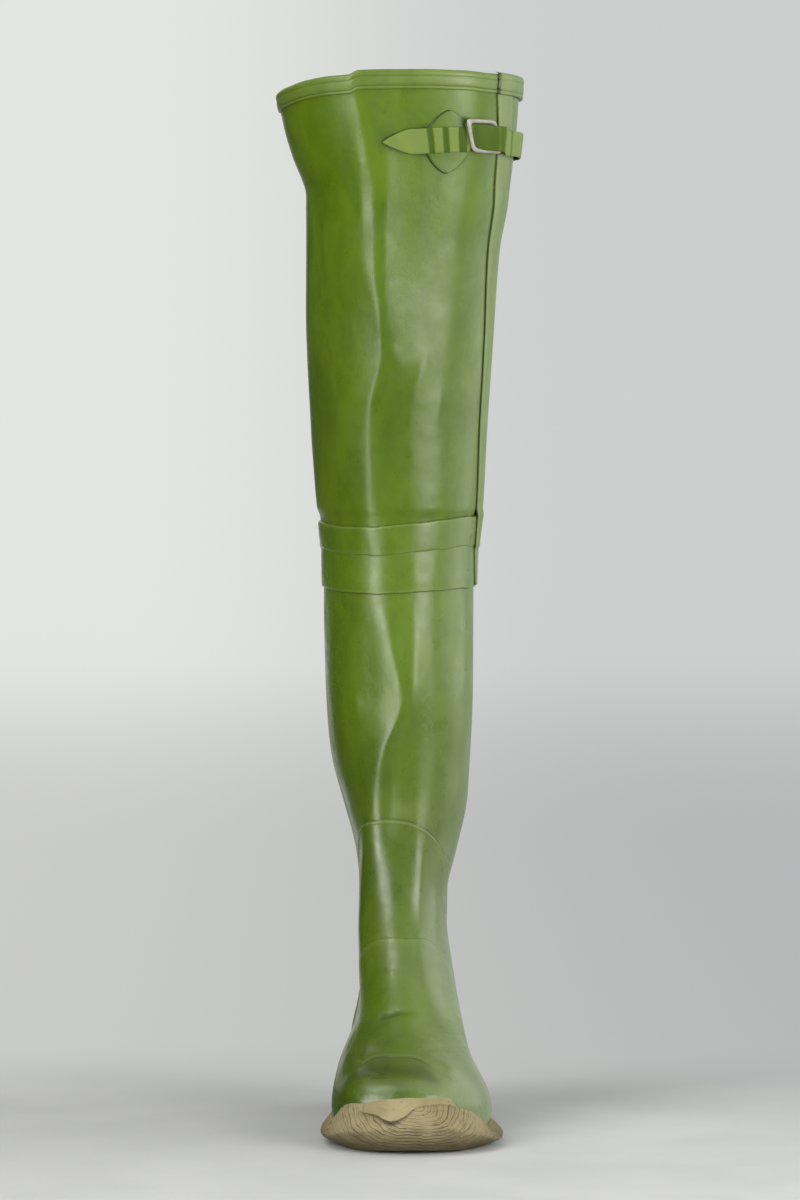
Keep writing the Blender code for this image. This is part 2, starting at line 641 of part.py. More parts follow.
def make_strap():
    turns = strap_turns()
    tip = bare_skin(turns[0], STRAP_LEVEL)

    def place(i, j):
        turn = turns[i]
        from_tip = (bare_skin(turn, STRAP_LEVEL) - tip).length
        taper = min(from_tip / STRAP_TIP_LENGTH, 1.0)
        half = STRAP_TIP_HALF_WIDTH + (STRAP_HALF_WIDTH - STRAP_TIP_HALF_WIDTH) * taper
        lift = between(STRAP_LIFT, turn)
        grooved = any(abs(turn - groove) < STRAP_GROOVE_HALF_TURN for groove in STRAP_GROOVES)
        top = lift + STRAP_THICK - (STRAP_GROOVE_DEPTH if grooved else 0.0)
        side, offset = ((-1, lift), (-1, top), (1, top), (1, lift))[j % 4]
        # the strap is flat across, so both edges take the lift of its middle line
        middle = skin(turn, STRAP_LEVEL, offset)
        return middle + (skin(turn, STRAP_LEVEL + side * half, 0.0) - skin(turn, STRAP_LEVEL, 0.0))
    return grid_piece("strap", "green_rubber", len(turns) - 1, 4, place)


def make_buckle():
    left = skin(BUCKLE_LEFT_TURN, STRAP_LEVEL, BUCKLE_LEFT_LIFT)
    right = skin(BUCKLE_RIGHT_TURN, STRAP_LEVEL, BUCKLE_RIGHT_LIFT)
    middle = (left + right) / 2.0
    along = (right - left).normalized()
    turn_between = (BUCKLE_LEFT_TURN + BUCKLE_RIGHT_TURN) / 2.0
    lean = (bare_skin(turn_between, STRAP_LEVEL + BUCKLE_HALF_HEIGHT)
            - bare_skin(turn_between, STRAP_LEVEL - BUCKLE_HALF_HEIGHT))
    out = along.cross(lean).normalized()
    up = out.cross(along)
    half_length = (right - left).length / 2.0

    def path(turn, grow):
        c = math.cos(turn)
        s = math.sin(turn)
        power = 2.0 / BUCKLE_SQUARE
        return (math.copysign(abs(c) ** power, c) * (half_length + grow),
                math.copysign(abs(s) ** power, s) * (BUCKLE_HALF_HEIGHT + grow))

    def place(i, j):
        turn = 2 * math.pi * ((i % BUCKLE_STEPS) + 0.5) / BUCKLE_STEPS
        roll = 2 * math.pi * (j % BUCKLE_SIDES) / BUCKLE_SIDES
        u, v = path(turn, math.cos(roll) * BUCKLE_WIRE / 2.0)
        u -= BUCKLE_LEAN * v
        return middle + along * u + up * v + out * (math.sin(roll) * BUCKLE_WIRE_DEEP / 2.0)
    return grid_piece("buckle", "nickel", BUCKLE_STEPS, BUCKLE_SIDES, place)


def stand_on_origin():
    # the origin lies on the floor under the middle of the whole boot
    points = [v.co for piece in bpy.context.scene.objects for v in piece.data.vertices]
    low = Vector([min(p[k] for p in points) for k in range(3)])
    high = Vector([max(p[k] for p in points) for k in range(3)])
    middle = (low + high) / 2.0
    shift = Matrix.Translation((-middle.x, -middle.y, -low.z))
    for piece in bpy.context.scene.objects:
        piece.data.transform(shift)


def main():
    for old in list(bpy.data.objects):
        bpy.data.objects.remove(old, do_unlink=True)
    make_outsole()
    make_heel()
    make_spur()
    make_insole()
    make_upper()
    make_foot_layers()
    make_thigh()
    make_band("knee_band_lower", BAND_BOTTOM, BAND_MIDDLE, LOWER_BAND_THICK)
    make_band("knee_band_upper", BAND_MIDDLE, BAND_TOP, UPPER_BAND_THICK)
    make_binding()
    make_seam_strip()
    make_strap_patch()
    make_strap()
    make_buckle()
    stand_on_origin()


main()
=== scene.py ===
import math

import bmesh
import bpy
import numpy as np
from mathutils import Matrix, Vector


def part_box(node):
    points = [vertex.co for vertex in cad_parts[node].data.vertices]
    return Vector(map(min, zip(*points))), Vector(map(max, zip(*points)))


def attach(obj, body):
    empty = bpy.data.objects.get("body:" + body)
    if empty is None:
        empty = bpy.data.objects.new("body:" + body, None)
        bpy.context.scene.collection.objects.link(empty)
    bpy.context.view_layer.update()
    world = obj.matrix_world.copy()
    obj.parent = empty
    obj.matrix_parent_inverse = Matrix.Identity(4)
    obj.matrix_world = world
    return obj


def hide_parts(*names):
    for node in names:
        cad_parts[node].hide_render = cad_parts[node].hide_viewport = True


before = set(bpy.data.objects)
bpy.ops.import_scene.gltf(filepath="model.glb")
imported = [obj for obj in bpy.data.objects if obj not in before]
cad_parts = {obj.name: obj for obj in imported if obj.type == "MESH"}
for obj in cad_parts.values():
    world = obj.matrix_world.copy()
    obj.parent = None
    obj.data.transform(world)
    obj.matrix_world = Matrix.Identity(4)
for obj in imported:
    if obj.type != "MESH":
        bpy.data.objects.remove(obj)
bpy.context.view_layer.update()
scene = bpy.context.scene


# The boot's outer wall, through sections from the sole's seat to the collar: the level, then the named values

sectionNames = ("front", "back", "widest", "inner", "outer", "toeX", "heelX", "nose", "seat", "waist", "taper")
sections = np.array((
    (12, -187, 84.5, -112, -48.5, 57.0, 3, -2, 2.25, 2.50, 0.16, 0.12),
    (22, -191, 87.5, -112, -51.0, 59.8, 3, -2, 2.25, 2.50, 0.16, 0.12),
    (34, -191.5, 89.5, -112, -50.4, 57.6, 3, -2, 2.25, 2.50, 0.15, 0.11),
    (46, -186, 90.5, -110, -48.0, 51.8, 2, -2, 2.20, 2.55, 0.12, 0.10),
    (56, -172.5, 90.2, -104, -45.0, 46.4, 1, -2, 2.15, 2.65, 0.09, 0.08),
    (67, -149, 89.0, -92, -39.6, 42.8, 1, -2, 2.10, 2.75, 0.05, 0.05),
    (81, -122, 86.5, -66, -32.8, 39.9, 1.5, -1.5, 2.05, 3.00, 0.02, 0.02),
    (98, -99, 83.0, -36, -29.6, 36.6, 2, -1, 2.05, 2.80, 0.0, 0.0),
    (118, -78, 79.5, -8, -29.6, 33.6, 2, -0.5, 2.05, 2.50, 0.0, 0.0),
    (140, -61.5, 77.0, 8, -29.6, 30.8, 1, 0, 2.10, 2.30, 0.0, 0.0),
    (165, -50.3, 77.0, 14, -30.6, 31.6, 1, 0, 2.10, 2.25, 0.0, 0.0),
    (195, -46.4, 80.0, 17, -33.6, 38.8, 1, 0, 2.15, 2.20, 0.0, 0.0),
    (225, -47.5, 85.0, 19, -41.6, 45.0, 1, 0, 2.20, 2.20, 0.0, 0.0),
    (260, -51, 89.5, 20, -51.0, 47.6, -1, -1, 2.25, 2.20, 0.0, 0.0),
    (300, -55, 93.0, 19, -55.4, 50.7, -2, -2, 2.30, 2.20, 0.0, 0.0),
    (360, -59, 94.0, 18, -57.4, 51.5, -3, -3, 2.30, 2.20, 0.0, 0.0),
    (412, -61.5, 92.0, 15.5, -57.6, 52.2, -3, -3, 2.25, 2.20, 0.0, 0.0),
    (437, -63, 91.5, 14.5, -60.0, 55.0, -3, -3, 2.25, 2.20, 0.0, 0.0),
    (444, -64.5, 92.5, 14.5, -62.4, 57.0, -3, -3, 2.25, 2.20, 0.0, 0.0),
    (500, -68, 93.0, 12.5, -66.2, 60.2, -4, -4, 2.30, 2.20, 0.0, 0.0),
    (570, -74, 95.0, 10.5, -70.0, 65.6, -3, -3, 2.35, 2.20, 0.0, 0.0),
    (630, -80, 98.5, 9, -70.0, 70.4, -1, -1, 2.45, 2.20, 0.0, 0.0),
    (660, -83.5, 100.5, 8, -70.2, 75.8, 1, 0, 2.55, 2.20, 0.0, 0.0),
    (675, -85.5, 101.3, 7.5, -71.0, 77.4, 1, 0, 2.60, 2.20, 0.0, 0.0),
    (700, -89, 102.5, 6.5, -80.0, 80.2, 0, -1, 2.70, 2.20, 0.0, 0.0),
    (725, -92.5, 103.5, 5.5, -86.6, 82.4, -2, -2, 2.80, 2.20, 0.0, 0.0),
    (760, -96, 104.5, 4.5, -91.5, 84.0, -3, -3, 2.80, 2.20, 0.0, 0.0),
), float)
rowAbove = np.minimum(np.arange(len(sections)) + 1, len(sections) - 1)
rowBelow = np.maximum(np.arange(len(sections)) - 1, 0)
sectionSlopes = (sections[rowAbove] - sections[rowBelow]) / (sections[rowAbove, :1] - sections[rowBelow, :1])

soleShape = {"front": -205, "back": 97, "widest": -112, "inner": -60.0, "outer": 68.8, "toeX": 3, "heelX": -2,
             "nose": 2.35, "seat": 2.6, "waist": 0.19, "taper": 0.13}
heelShape = {"front": 17, "back": 93, "widest": 48, "inner": -39, "outer": 37, "toeX": -1, "heelX": -2,
             "nose": 6.0, "seat": 2.4, "waist": 0.0, "taper": 0.0}
toeLine = {"base": 40, "front": 22, "frontTurn": -12, "frontSpan": 38, "back": 32, "backSpan": 45}
vampLine = {"base": 92, "front": 44, "frontTurn": 0, "frontSpan": 62, "back": 20, "backSpan": 50}
tongueLine = {"base": 128, "front": 92, "frontTurn": -8, "frontSpan": 70, "frontPower": 4.2, "outerSpan": 88,
              "outerPower": 1.97, "outerFade": (55.0, 75.0), "back": 44, "backSpan": 50}
walls = {"boot": 2.4, "thigh": 1.6, "cover": 1.2, "feather": 12.0, "joint": 425.0, "rim": 750.0}
# rows of the foot that lie on the edges of its layers
footRows = {"seat": 12.0, "toe": 61.0, "vamp": 140.0, "tongue": 219.0, "plain": 300.0, "end": 760.0}
# the heel block's inner side and the sole's tip say where the boot's own frame lies
bootShift = np.array((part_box("heel")[0].x * 1000 - heelShape["inner"],
                      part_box("outsole")[0].y * 1000 - soleShape["front"], 0.0))
print("frame loaded, boot shifted by", bootShift.round(2))


def smooth(share):
    share = np.clip(share, 0.0, 1.0)
    return share * share * (3.0 - 2.0 * share)


def bell(value, wide):
    # 1 in the middle, and dying away on both sides
    return np.exp(-(value / wide) ** 2)


def spot(x, z, x0, z0, wide, tall):
    # the same about a place
    return np.exp(-((x - x0) / wide) ** 2 - ((z - z0) / tall) ** 2)


def wrap(turn):
    return (turn + 180.0) % 360.0 - 180.0


def roundedStep(share):
    # a quarter round, for the edge of a layer
    share = np.clip(share, 0.0, 1.0)
    return np.sqrt(np.maximum(1.0 - (1.0 - share) ** 2, 0.0))


def waves(a, b, seeds):
    # slow irregular waves from a few fixed sines, about -1 to 1
    total = 0.0
    for k, (fa, fb, phase) in enumerate(seeds):
        total = total + np.sin(a * fa + b * fb + phase) / (1.0 + 0.35 * k)
    return total / sum(1.0 / (1.0 + 0.35 * k) for k in range(len(seeds)))


def scuffs(x, z, less):
    # short broken scratches
    return smooth(waves(x, z, ((0.9, 0.7, 0.0), (1.7, -1.1, 2.0), (0.5, 1.9, 4.0))) * 2.0 - less)


def eased(x, xs, ys, reach):
    # a path of straight runs with its corners smoothed
    return sum(np.interp(x + step, xs, ys) for step in (-reach, -reach / 2, 0.0, reach / 2, reach)) / 5.0


def paced(points, axis):
    # length walked along one side of a grid of places
    steps = np.linalg.norm(np.diff(points, axis=axis), axis=-1)
    start = np.zeros_like(np.take(steps, [0], axis=axis))
    return np.concatenate((start, np.cumsum(steps, axis=axis)), axis=axis)


def sectionAt(level):
    # one smooth curve through all sections
    i = np.clip(np.searchsorted(sections[:, 0], level) - 1, 0, len(sections) - 2)
    span = (sections[i + 1, 0] - sections[i, 0])[..., None]
    s = (level - sections[i, 0])[..., None] / span
    row = (sections[i] * (1 + 2 * s) * (1 - s) ** 2 + sectionSlopes[i] * span * s * (1 - s) ** 2
           + sections[i + 1] * s * s * (3 - 2 * s) + sectionSlopes[i + 1] * span * s * s * (s - 1))
    return {name: row[..., k + 1] for k, name in enumerate(sectionNames)}


def planPoint(row, turn):
    # outline at one level: turn 0 is the toe, 90 the outer side
    c = np.cos(np.radians(turn))
    s = np.sin(np.radians(turn))
    ahead = c >= 0
    end = np.where(ahead, row["front"], row["back"])
    endX = np.where(ahead, row["toeX"], row["heelX"])
    power = 2.0 / np.where(ahead, row["nose"], row["seat"])
    along = np.abs(c) ** power
    y = row["widest"] + (end - row["widest"]) * along
    centre = (row["inner"] + row["outer"]) / 2.0
    half = (row["outer"] - row["inner"]) / 2.0
    arch = row["waist"] * bell(y + 15.0, 45.0) * np.where(s > 0, 0.7, 1.3)
    x = centre + (endX - centre) * along * along
    narrow = (1.0 - arch) * (1.0 - np.where(ahead, 0.0, row["taper"] * along))
    return x + np.sign(s) * np.abs(s) ** power * half * narrow, y


def planOffset(row, turn, grow):
    # the same outline moved outwards
    x0, y0 = planPoint(row, turn - 0.6)
    x1, y1 = planPoint(row, turn + 0.6)
    length = np.hypot(x1 - x0, y1 - y0)
    x, y = planPoint(row, turn)
    return x + (y1 - y0) / length * grow, y - (x1 - x0) / length * grow


def seatRise(y):
    # the foot's seat rises towards the heel and a little towards the toe
    return 12.0 * smooth((y + 70.0) / 100.0) + 4.0 * smooth((-150.0 - y) / 50.0)


def barePoint(turn, level):
    # the wall without its folds; the collar is lower on the inner side, where its edge has fallen in
    x, y = planPoint(sectionAt(level), turn)
    seat = seatRise(y) * (1.0 - smooth((level - walls["feather"]) / 48.0))
    collar = 3.0 * bell(wrap(turn), 45.0) - 6.0 * bell(wrap(turn + 90.0), 45.0)
    fallen = 2.4 * smooth((-14.0 - wrap(turn)) / 2.2) + 1.6 * smooth((-18.0 - wrap(turn)) / 55.0)
    fallen = fallen * (1.0 - smooth((-95.0 - wrap(turn)) / 45.0)) * smooth((level - 728.0) / 14.0)
    z = level + seat + collar * smooth((level - 640.0) / 110.0) - fallen
    return np.stack((x, y, z), axis=-1)


# Folds of the rubber seen from the front: x, z, height (a trough is below zero), width to the left and to the right,
# radius of the crest

# small crease over the toes
toeCrease = ((-19.5, 81.0, -0.3, 2.6, 2.6, 0.5), (-15.0, 84.5, -1.4, 2.4, 2.4, 0.4), (-6.0, 87.5, -1.6, 2.4, 2.4, 0.4),
             (3.0, 88.5, -0.9, 2.4, 2.4, 0.5), (8.0, 88.0, -0.2, 2.6, 2.6, 0.8))
frontFolds = (
    # long fold of the thigh, from the collar to the knee: the front turns a corner there
    ((-38.0, 762, 6.0, 20, 30, 0.8), (-36.5, 748, 5.4, 20, 30, 1.0), (-34.0, 738, 4.6, 20, 28, 1.6),
     (-26.5, 707, 4.2, 18, 18, 3.0), (-21.5, 675, 4.2, 17, 14, 3.0), (-20.8, 645, 4.2, 17, 13, 2.5),
     (-20.8, 625, 4.4, 17, 13, 2.2), (-19.8, 605, 4.8, 17, 14, 1.8), (-17.2, 582, 5.2, 16, 24, 1.0),
     (-15.4, 563, 5.2, 16, 28, 0.7), (-15.6, 550, 5.0, 15, 28, 0.7), (-19.5, 535, 4.6, 14, 24, 0.9),
     (-23.0, 522, 4.0, 13, 20, 1.6), (-24.6, 500, 3.0, 12, 16, 2.4), (-23.9, 448, 1.8, 12, 16, 3.0),
     (-23.9, 428, 1.0, 12, 16, 3.0)),
    # its left corner, and its second edge
    ((-34.0, 715, 0.3, 10, 10, 3.0), (-30.0, 690, 1.2, 10, 12, 2.0), (-29.0, 645, 1.4, 10, 12, 1.6),
     (-28.0, 620, 1.2, 10, 10, 1.6), (-23.5, 595, 0.2, 8, 8, 1.6)),
    ((-11.0, 712, 0.2, 8, 20, 2.0), (-12.0, 690, 1.2, 8, 24, 1.4), (-13.0, 665, 1.9, 7, 26, 0.9),
     (-15.0, 640, 2.0, 6, 26, 0.7), (-13.4, 612, 1.8, 6, 26, 0.7), (-14.0, 585, 1.0, 6, 22, 0.7),
     (-15.0, 566, 0.2, 6, 16, 0.8)),
    # outer half pressed flat
    ((26.0, 735, -0.4, 22, 30, 9.0), (24.0, 690, -1.8, 22, 28, 9.0), (22.0, 640, -2.6, 22, 26, 9.0),
     (21.0, 590, -2.4, 22, 26, 9.0), (24.0, 550, -1.2, 18, 22, 8.0), (30.0, 525, -0.2, 18, 18, 8.0)),
    # small dent beside the fold and the ridges under it
    ((-12.0, 566, -0.2, 4, 4, 1.5), (-7.5, 556, 0.9, 4, 5, 1.2), (-2.5, 545, 0.2, 5, 5, 1.5)),
    ((17.0, 560, 0.2, 6, 8, 1.5), (12.5, 545, 1.6, 7, 10, 1.2), (6.3, 527, 2.0, 8, 14, 1.4),
     (3.4, 506, 1.8, 9, 18, 2.0), (3.4, 476, 1.2, 10, 20, 3.0), (3.0, 448, 0.4, 11, 20, 4.0)),
    ((29.0, 540, 0.1, 6, 6, 1.5), (26.0, 522, 0.9, 6, 6, 1.5), (22.0, 500, 0.2, 7, 7, 2.0)),
    # a nick on the inner side of the shin
    ((-36.2, 314, 0.1, 2.5, 2.5, 0.6), (-35.0, 305, 0.7, 2.5, 2.5, 0.6), (-33.4, 294, 0.1, 2.5, 2.5, 0.6)),
    toeCrease,
    ((-14.0, 81.0, 0.2, 4, 4, 1.5), (-4.0, 83.0, 0.8, 4, 4, 1.5), (8.0, 83.0, 0.2, 4, 4, 1.5)),
    ((-41.0, 63.0, -0.3, 5, 5, 2.0), (-30.0, 68.0, -1.0, 5, 5, 1.5), (-8.0, 70.0, -1.2, 5, 5, 1.5),
     (10.0, 68.0, -0.4, 5, 5, 2.0)),
    # hollow under the edge of the vamp, the ridge that runs on to the outer side, and the corners of the toe cap
    ((-42.0, 48.0, -0.3, 4, 4, 2.5), (-31.0, 55.0, -1.4, 4, 4, 2.5), (-12.0, 58.0, -2.0, 4.5, 4.5, 2.5),
     (3.0, 56.0, -1.8, 4, 4, 2.5), (18.0, 49.0, -1.0, 4, 4, 2.5), (30.0, 45.0, -0.2, 4, 4, 2.5)),
    ((4.0, 61.0, 0.3, 4, 4, 1.5), (27.0, 55.0, 1.2, 5, 5, 1.5), (50.0, 43.0, 1.0, 6, 6, 2.0),
     (60.0, 36.0, 0.2, 6, 6, 2.0)),
    ((-36.5, 24.0, 3.4, 8, 12, 4.5), (-36.0, 38.0, 6.0, 8, 12, 4.5), (-33.5, 47.0, 4.4, 7, 12, 4.5),
     (-28.0, 58.0, 0.4, 6, 10, 4.5)),
    ((12.0, 32.0, 0.4, 12, 10, 4.0), (13.0, 40.0, 1.0, 12, 10, 4.0), (10.0, 49.0, 0.5, 10, 8, 4.0)),
)
# folds that run up the leg, smoothed from row to row
uprightFolds = (
    # fold of the shin, with the hollows on both sides of it and its second edge
    ((-14.0, 392, 0.0, 13, 20, 2.5), (-11.5, 370, 0.9, 13, 22, 2.5), (-8.0, 348, 3.0, 13, 24, 2.2),
     (-3.6, 328, 4.2, 12, 24, 1.8), (-0.8, 312, 4.5, 11, 24, 1.6), (-1.0, 300, 4.2, 10, 20, 1.7),
     (-5.5, 288, 3.2, 9, 14, 2.0), (-12.5, 274, 2.0, 8, 9, 2.6), (-17.5, 258, 1.5, 8, 9, 3.2),
     (-21.0, 236, 1.0, 8, 9, 4.0), (-23.5, 214, 0.4, 8, 9, 4.0), (-25.0, 196, 0.0, 8, 9, 4.0)),
    ((-28.0, 385, 0.0, 18, 11, 5.0), (-27.0, 350, -1.6, 18, 11, 5.0), (-25.0, 310, -2.2, 18, 11, 5.0),
     (-30.0, 270, -0.8, 18, 11, 5.0), (-32.0, 248, 0.0, 18, 11, 5.0)),
    ((6.0, 304, 0.0, 6, 12, 2.5), (1.5, 290, -0.6, 6, 13, 2.5), (-4.8, 272, -1.6, 7, 18, 2.5),
     (-8.6, 251, -2.1, 7, 18, 2.5), (-10.6, 226, -2.1, 7, 18, 2.5), (-10.5, 204, -0.9, 7, 16, 3.0),
     (-10.0, 184, 0.0, 7, 14, 3.0)),
    ((7.5, 378, 0.0, 6, 6, 2.0), (7.5, 345, 1.3, 6, 6, 1.5), (6.4, 312, 1.4, 5, 6, 1.2),
     (4.5, 276, 0.0, 6, 6, 2.0)),
    # two soft corners of the ankle, flatter between them
    ((-23.0, 246, 0.0, 5, 13, 4.5), (-21.8, 222, 3.2, 5, 13, 4.5), (-21.2, 200, 6.6, 4.5, 12, 4.5),
     (-21.4, 165, 8.2, 4.5, 12, 4.5), (-22.0, 135, 8.6, 4.5, 12, 4.5), (-23.0, 112, 6.0, 5, 12, 4.5),
     (-24.0, 95, 2.4, 6, 11, 4.5), (-25.0, 78, 0.0, 7, 10, 4.5)),
    ((8.0, 244, 0.0, 10, 9, 3.0), (9.0, 205, 1.6, 10, 9, 3.0), (10.0, 160, 2.1, 10, 9, 3.0),
     (11.5, 125, 1.2, 10, 9, 3.5), (12.0, 100, 0.0, 10, 9, 3.5)),
)
# the same at the sides and the back: turn, level, height, widths and crest radius
sideFolds = (
    ((-78, 112, -0.5, 9, 9, 5), (-82, 145, -2.8, 9, 9, 5), (-84, 180, -3.2, 9, 9, 5),
     (-84, 210, -2.6, 9, 9, 5), (-80, 255, -0.4, 11, 11, 5)),
    ((-112, 118, 0.5, 10, 10, 6), (-114, 160, 2.2, 11, 11, 6), (-112, 200, 2.0, 12, 12, 6),
     (-106, 250, 0.4, 13, 13, 6)),
    ((96, 300, 0.4, 14, 14, 4), (92, 262, 1.6, 12, 12, 3), (84, 232, 1.4, 12, 12, 3),
     (80, 205, 0.3, 12, 12, 4)),
    ((-150, 560, 0.3, 16, 16, 3), (-138, 530, 2.0, 14, 14, 2), (-120, 505, 1.8, 12, 12, 2),
     (-98, 492, 0.4, 12, 12, 3)),
    ((150, 640, 0.3, 16, 16, 3), (138, 600, 2.0, 15, 15, 2), (128, 555, 1.8, 14, 14, 2),
     (124, 515, 0.3, 14, 14, 3)),
    ((170, 340, 0.1, 14, 14, 5), (176, 290, 1.1, 13, 13, 5), (186, 240, 1.1, 12, 12, 5),
     (192, 195, 0.1, 12, 12, 5)),
)


def flankFall(away, crest, width):
    # a rounded crest with flanks that die away at about the width
    flank = (np.sqrt(away * away + crest * crest) - crest) / width
    return np.exp(-flank - 0.35 * flank ** 2)


def foldHeight(u, v, fold):
    # the nearest point of a fold's path sets its height, widths and crest there
    best = np.full(u.shape, 1e9)
    height = np.zeros(u.shape)
    for (u0, v0, h0, a0, b0, r0), (u1, v1, h1, a1, b1, r1) in zip(fold, fold[1:]):
        du, dv = u1 - u0, v1 - v0
        t = np.clip(((u - u0) * du + (v - v0) * dv) / (du * du + dv * dv), 0.0, 1.0)
        right = u - u0 - t * du
        away = np.hypot(right, v - v0 - t * dv)
        near = away < best
        best = np.where(near, away, best)
        crest = r0 + (r1 - r0) * t
        width = np.where(right < 0, a0 + (a1 - a0) * t, b0 + (b1 - b0) * t)
        height = np.where(near, (h0 + (h1 - h0) * t) * flankFall(away, crest, width), height)
    return height


def uprightHeight(u, v, fold):
    # every height of the leg has its own point of the fold's path
    rows = np.array(fold[::-1], float)
    middle, height, left, right, crest = (eased(v, rows[:, 1], rows[:, k], 8.0) for k in (0, 2, 3, 4, 5))
    away = u - middle
    return height * flankFall(away, crest, np.where(away < 0, left, right))


def folds(turn, level, bare):
    front = smooth((np.cos(np.radians(turn)) - 0.12) / 0.2)
    total = np.zeros(turn.shape)
    for fold in frontFolds:
        total += foldHeight(bare[..., 0], bare[..., 2], fold) * front
    for fold in uprightFolds:
        total += uprightHeight(bare[..., 0], bare[..., 2], fold) * front
    for fold in sideFolds:
        centre = fold[1][0]
        total += foldHeight(centre + wrap(turn - centre), level, fold)
    # slow unevenness of a hand-built wall, gone at the sole
    slow = waves(turn * math.pi / 180, level, ((2, 0.021, 0.4), (3, -0.033, 1.9), (-5, 0.027, 4.1), (7, 0.045, 2.2)))
    return total + 0.55 * slow * smooth((level - 90.0) / 120.0)


def skin(turn, level, offset=0.0):
    # places on the folded outer wall, moved out of it by the offset
    turn, level = np.broadcast_arrays(np.asarray(turn, float), np.asarray(level, float))
    here = barePoint(turn, level)
    roundLeg = barePoint(turn + 0.6, level) - barePoint(turn - 0.6, level)
    upLeg = barePoint(turn, level + 0.4) - barePoint(turn, level - 0.4)
    out = np.cross(roundLeg, upLeg)
    out /= np.linalg.norm(out, axis=-1, keepdims=True)
    return here + out * (offset + folds(turn, level, here))[..., None]


def footLine(line, turn):
    # level of a layer's edge: it rises in front and at the back, and may fall faster on the outer side
    turn = wrap(turn)
    front = wrap(turn - line["frontTurn"])
    outer = front > 0
    away = np.abs(front)
    span = np.where(outer, line.get("outerSpan", line["frontSpan"]), line["frontSpan"])
    power = np.where(outer, line.get("outerPower", 4.0), line.get("frontPower", 4.0))
    fade = (110.0, 70.0)
    outerFade = line.get("outerFade", fade)
    fadeFrom = np.where(outer, outerFade[0], fade[0])
    fadeSpan = np.where(outer, outerFade[1], fade[1])
    rise = line["front"] / (1.0 + (away / span) ** power) * (1.0 - smooth((away - fadeFrom) / fadeSpan))
    return line["base"] + rise + line["back"] / (1.0 + ((180.0 - np.abs(turn)) / line["backSpan"]) ** 4)


def rowLevel(row, turn):
    # rows of the foot bend to follow the edges of its layers
    marks = np.array(tuple(footRows.values()))
    seat, plain, end = (np.full_like(turn, footRows[key]) for key in ("seat", "plain", "end"))
    lines = np.stack((seat, footLine(toeLine, turn), footLine(vampLine, turn), footLine(tongueLine, turn), plain, end))
    k = np.clip(np.searchsorted(marks, row) - 1, 0, len(marks) - 2)
    low = np.take_along_axis(lines, k[None], 0)[0]
    high = np.take_along_axis(lines, k[None] + 1, 0)[0]
    return low + (high - low) * (row - marks[k]) / (marks[k + 1] - marks[k])


def lipLevel(turn):
    # level of the sole's rim: it climbs over the toe and is higher at the heel
    y = barePoint(turn, np.full_like(turn, 18.0))[..., 1]
    return 18.0 + 19.0 * smooth((-132.0 - y) / 58.0) + 6.0 * smooth((y + 40.0) / 70.0)


def bandEdge(edge, turn):
    # level of a knee band's edge, with a dip in front
    dip = edge["dip"] * bell(wrap(turn + 20.0), 40.0)
    uneven = waves(np.radians(turn), 0.0, ((9, 0, 0.3), (14, 0, 2.0), (23, 0, 4.4))) * edge["uneven"]
    return edge["height"] + edge["tilt"] * np.sin(np.radians(turn)) - dip + uneven


# Meshes from grids

def gridPiece(name, points, finish, nodes=(), marks=None, uv=None, closeEnds=False):
    # a grid takes the given places; marks are values that the materials read from the mesh
    columns, rows = points.shape[0] - 1, points.shape[1] - 1

    def cell(vert):
        return round((vert.co.x + 0.5) * columns), round((vert.co.y + 0.5) * rows)

    places = (points + bootShift) * 0.001
    bm = bmesh.new()
    bmesh.ops.create_grid(bm, x_segments=columns, y_segments=rows, size=0.5)
    marks = marks or {}
    layers = {key: bm.verts.layers.float.new(key) for key in marks}
    if uv is not None:
        uvLayer = bm.loops.layers.uv.new("weave")
        for face in bm.faces:
            for loop in face.loops:
                loop[uvLayer].uv = uv[cell(loop.vert)]
    for vert in bm.verts:
        place = cell(vert)
        vert.co = places[place]
        for key, layer in layers.items():
            vert[layer] = marks[key][place]
    bmesh.ops.remove_doubles(bm, verts=bm.verts, dist=0.000003)
    if closeEnds:
        bmesh.ops.holes_fill(bm, edges=[e for e in bm.edges if e.is_boundary], sides=0)
        bmesh.ops.recalc_face_normals(bm, faces=bm.faces)
    for face in bm.faces:
        face.smooth = True
    mesh = bpy.data.meshes.new(name)
    bm.to_mesh(mesh)
    bm.free()
    piece = bpy.data.objects.new(name, mesh)
    scene.collection.objects.link(piece)
    mesh.materials.append(bpy.data.materials[finish])
    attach(piece, "root")
    if nodes:
        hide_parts(*nodes)
    print("made", name, len(mesh.polygons), "faces")
    return piece


def ringTurns(columns):
    return np.linspace(-180.0, 180.0, columns + 1)


def ringGrid(columns, stations):
    return np.repeat(ringTurns(columns)[:, None], stations, axis=1)


def edgeDistance(points, corner):
    # distance in millimetres from the rim of a laid grid, with rounded corners
    across = paced(points, 0)
    along = paced(points, 1)
    du = np.minimum(across, across[-1:] - across)
    dv = np.minimum(along, along[:, -1:] - along)
    inCorner = (du < corner) & (dv < corner)
    return np.where(inCorner, corner - np.hypot(corner - du, corner - dv), np.minimum(du, dv))


# Materials


def startMaterial(name):
    made = bpy.data.materials.new(name)
    made.use_nodes = True
    tree = made.node_tree
    coords = tree.nodes.new("ShaderNodeTexCoord").outputs["Object"]
    return tree, tree.nodes["Principled BSDF"], coords


def link(tree, value, socket):
    if isinstance(value, bpy.types.NodeSocket):
        tree.links.new(value, socket)
    else:
        socket.default_value = value


def noise(tree, coords, scale, detail=3.0, rough=0.5, distortion=0.0):
    node = tree.nodes.new("ShaderNodeTexNoise")
    tree.links.new(coords, node.inputs["Vector"])
    node.inputs["Scale"].default_value = scale
    node.inputs["Detail"].default_value = detail
    node.inputs["Roughness"].default_value = rough
    node.inputs["Distortion"].default_value = distortion
    return node.outputs["Fac"]


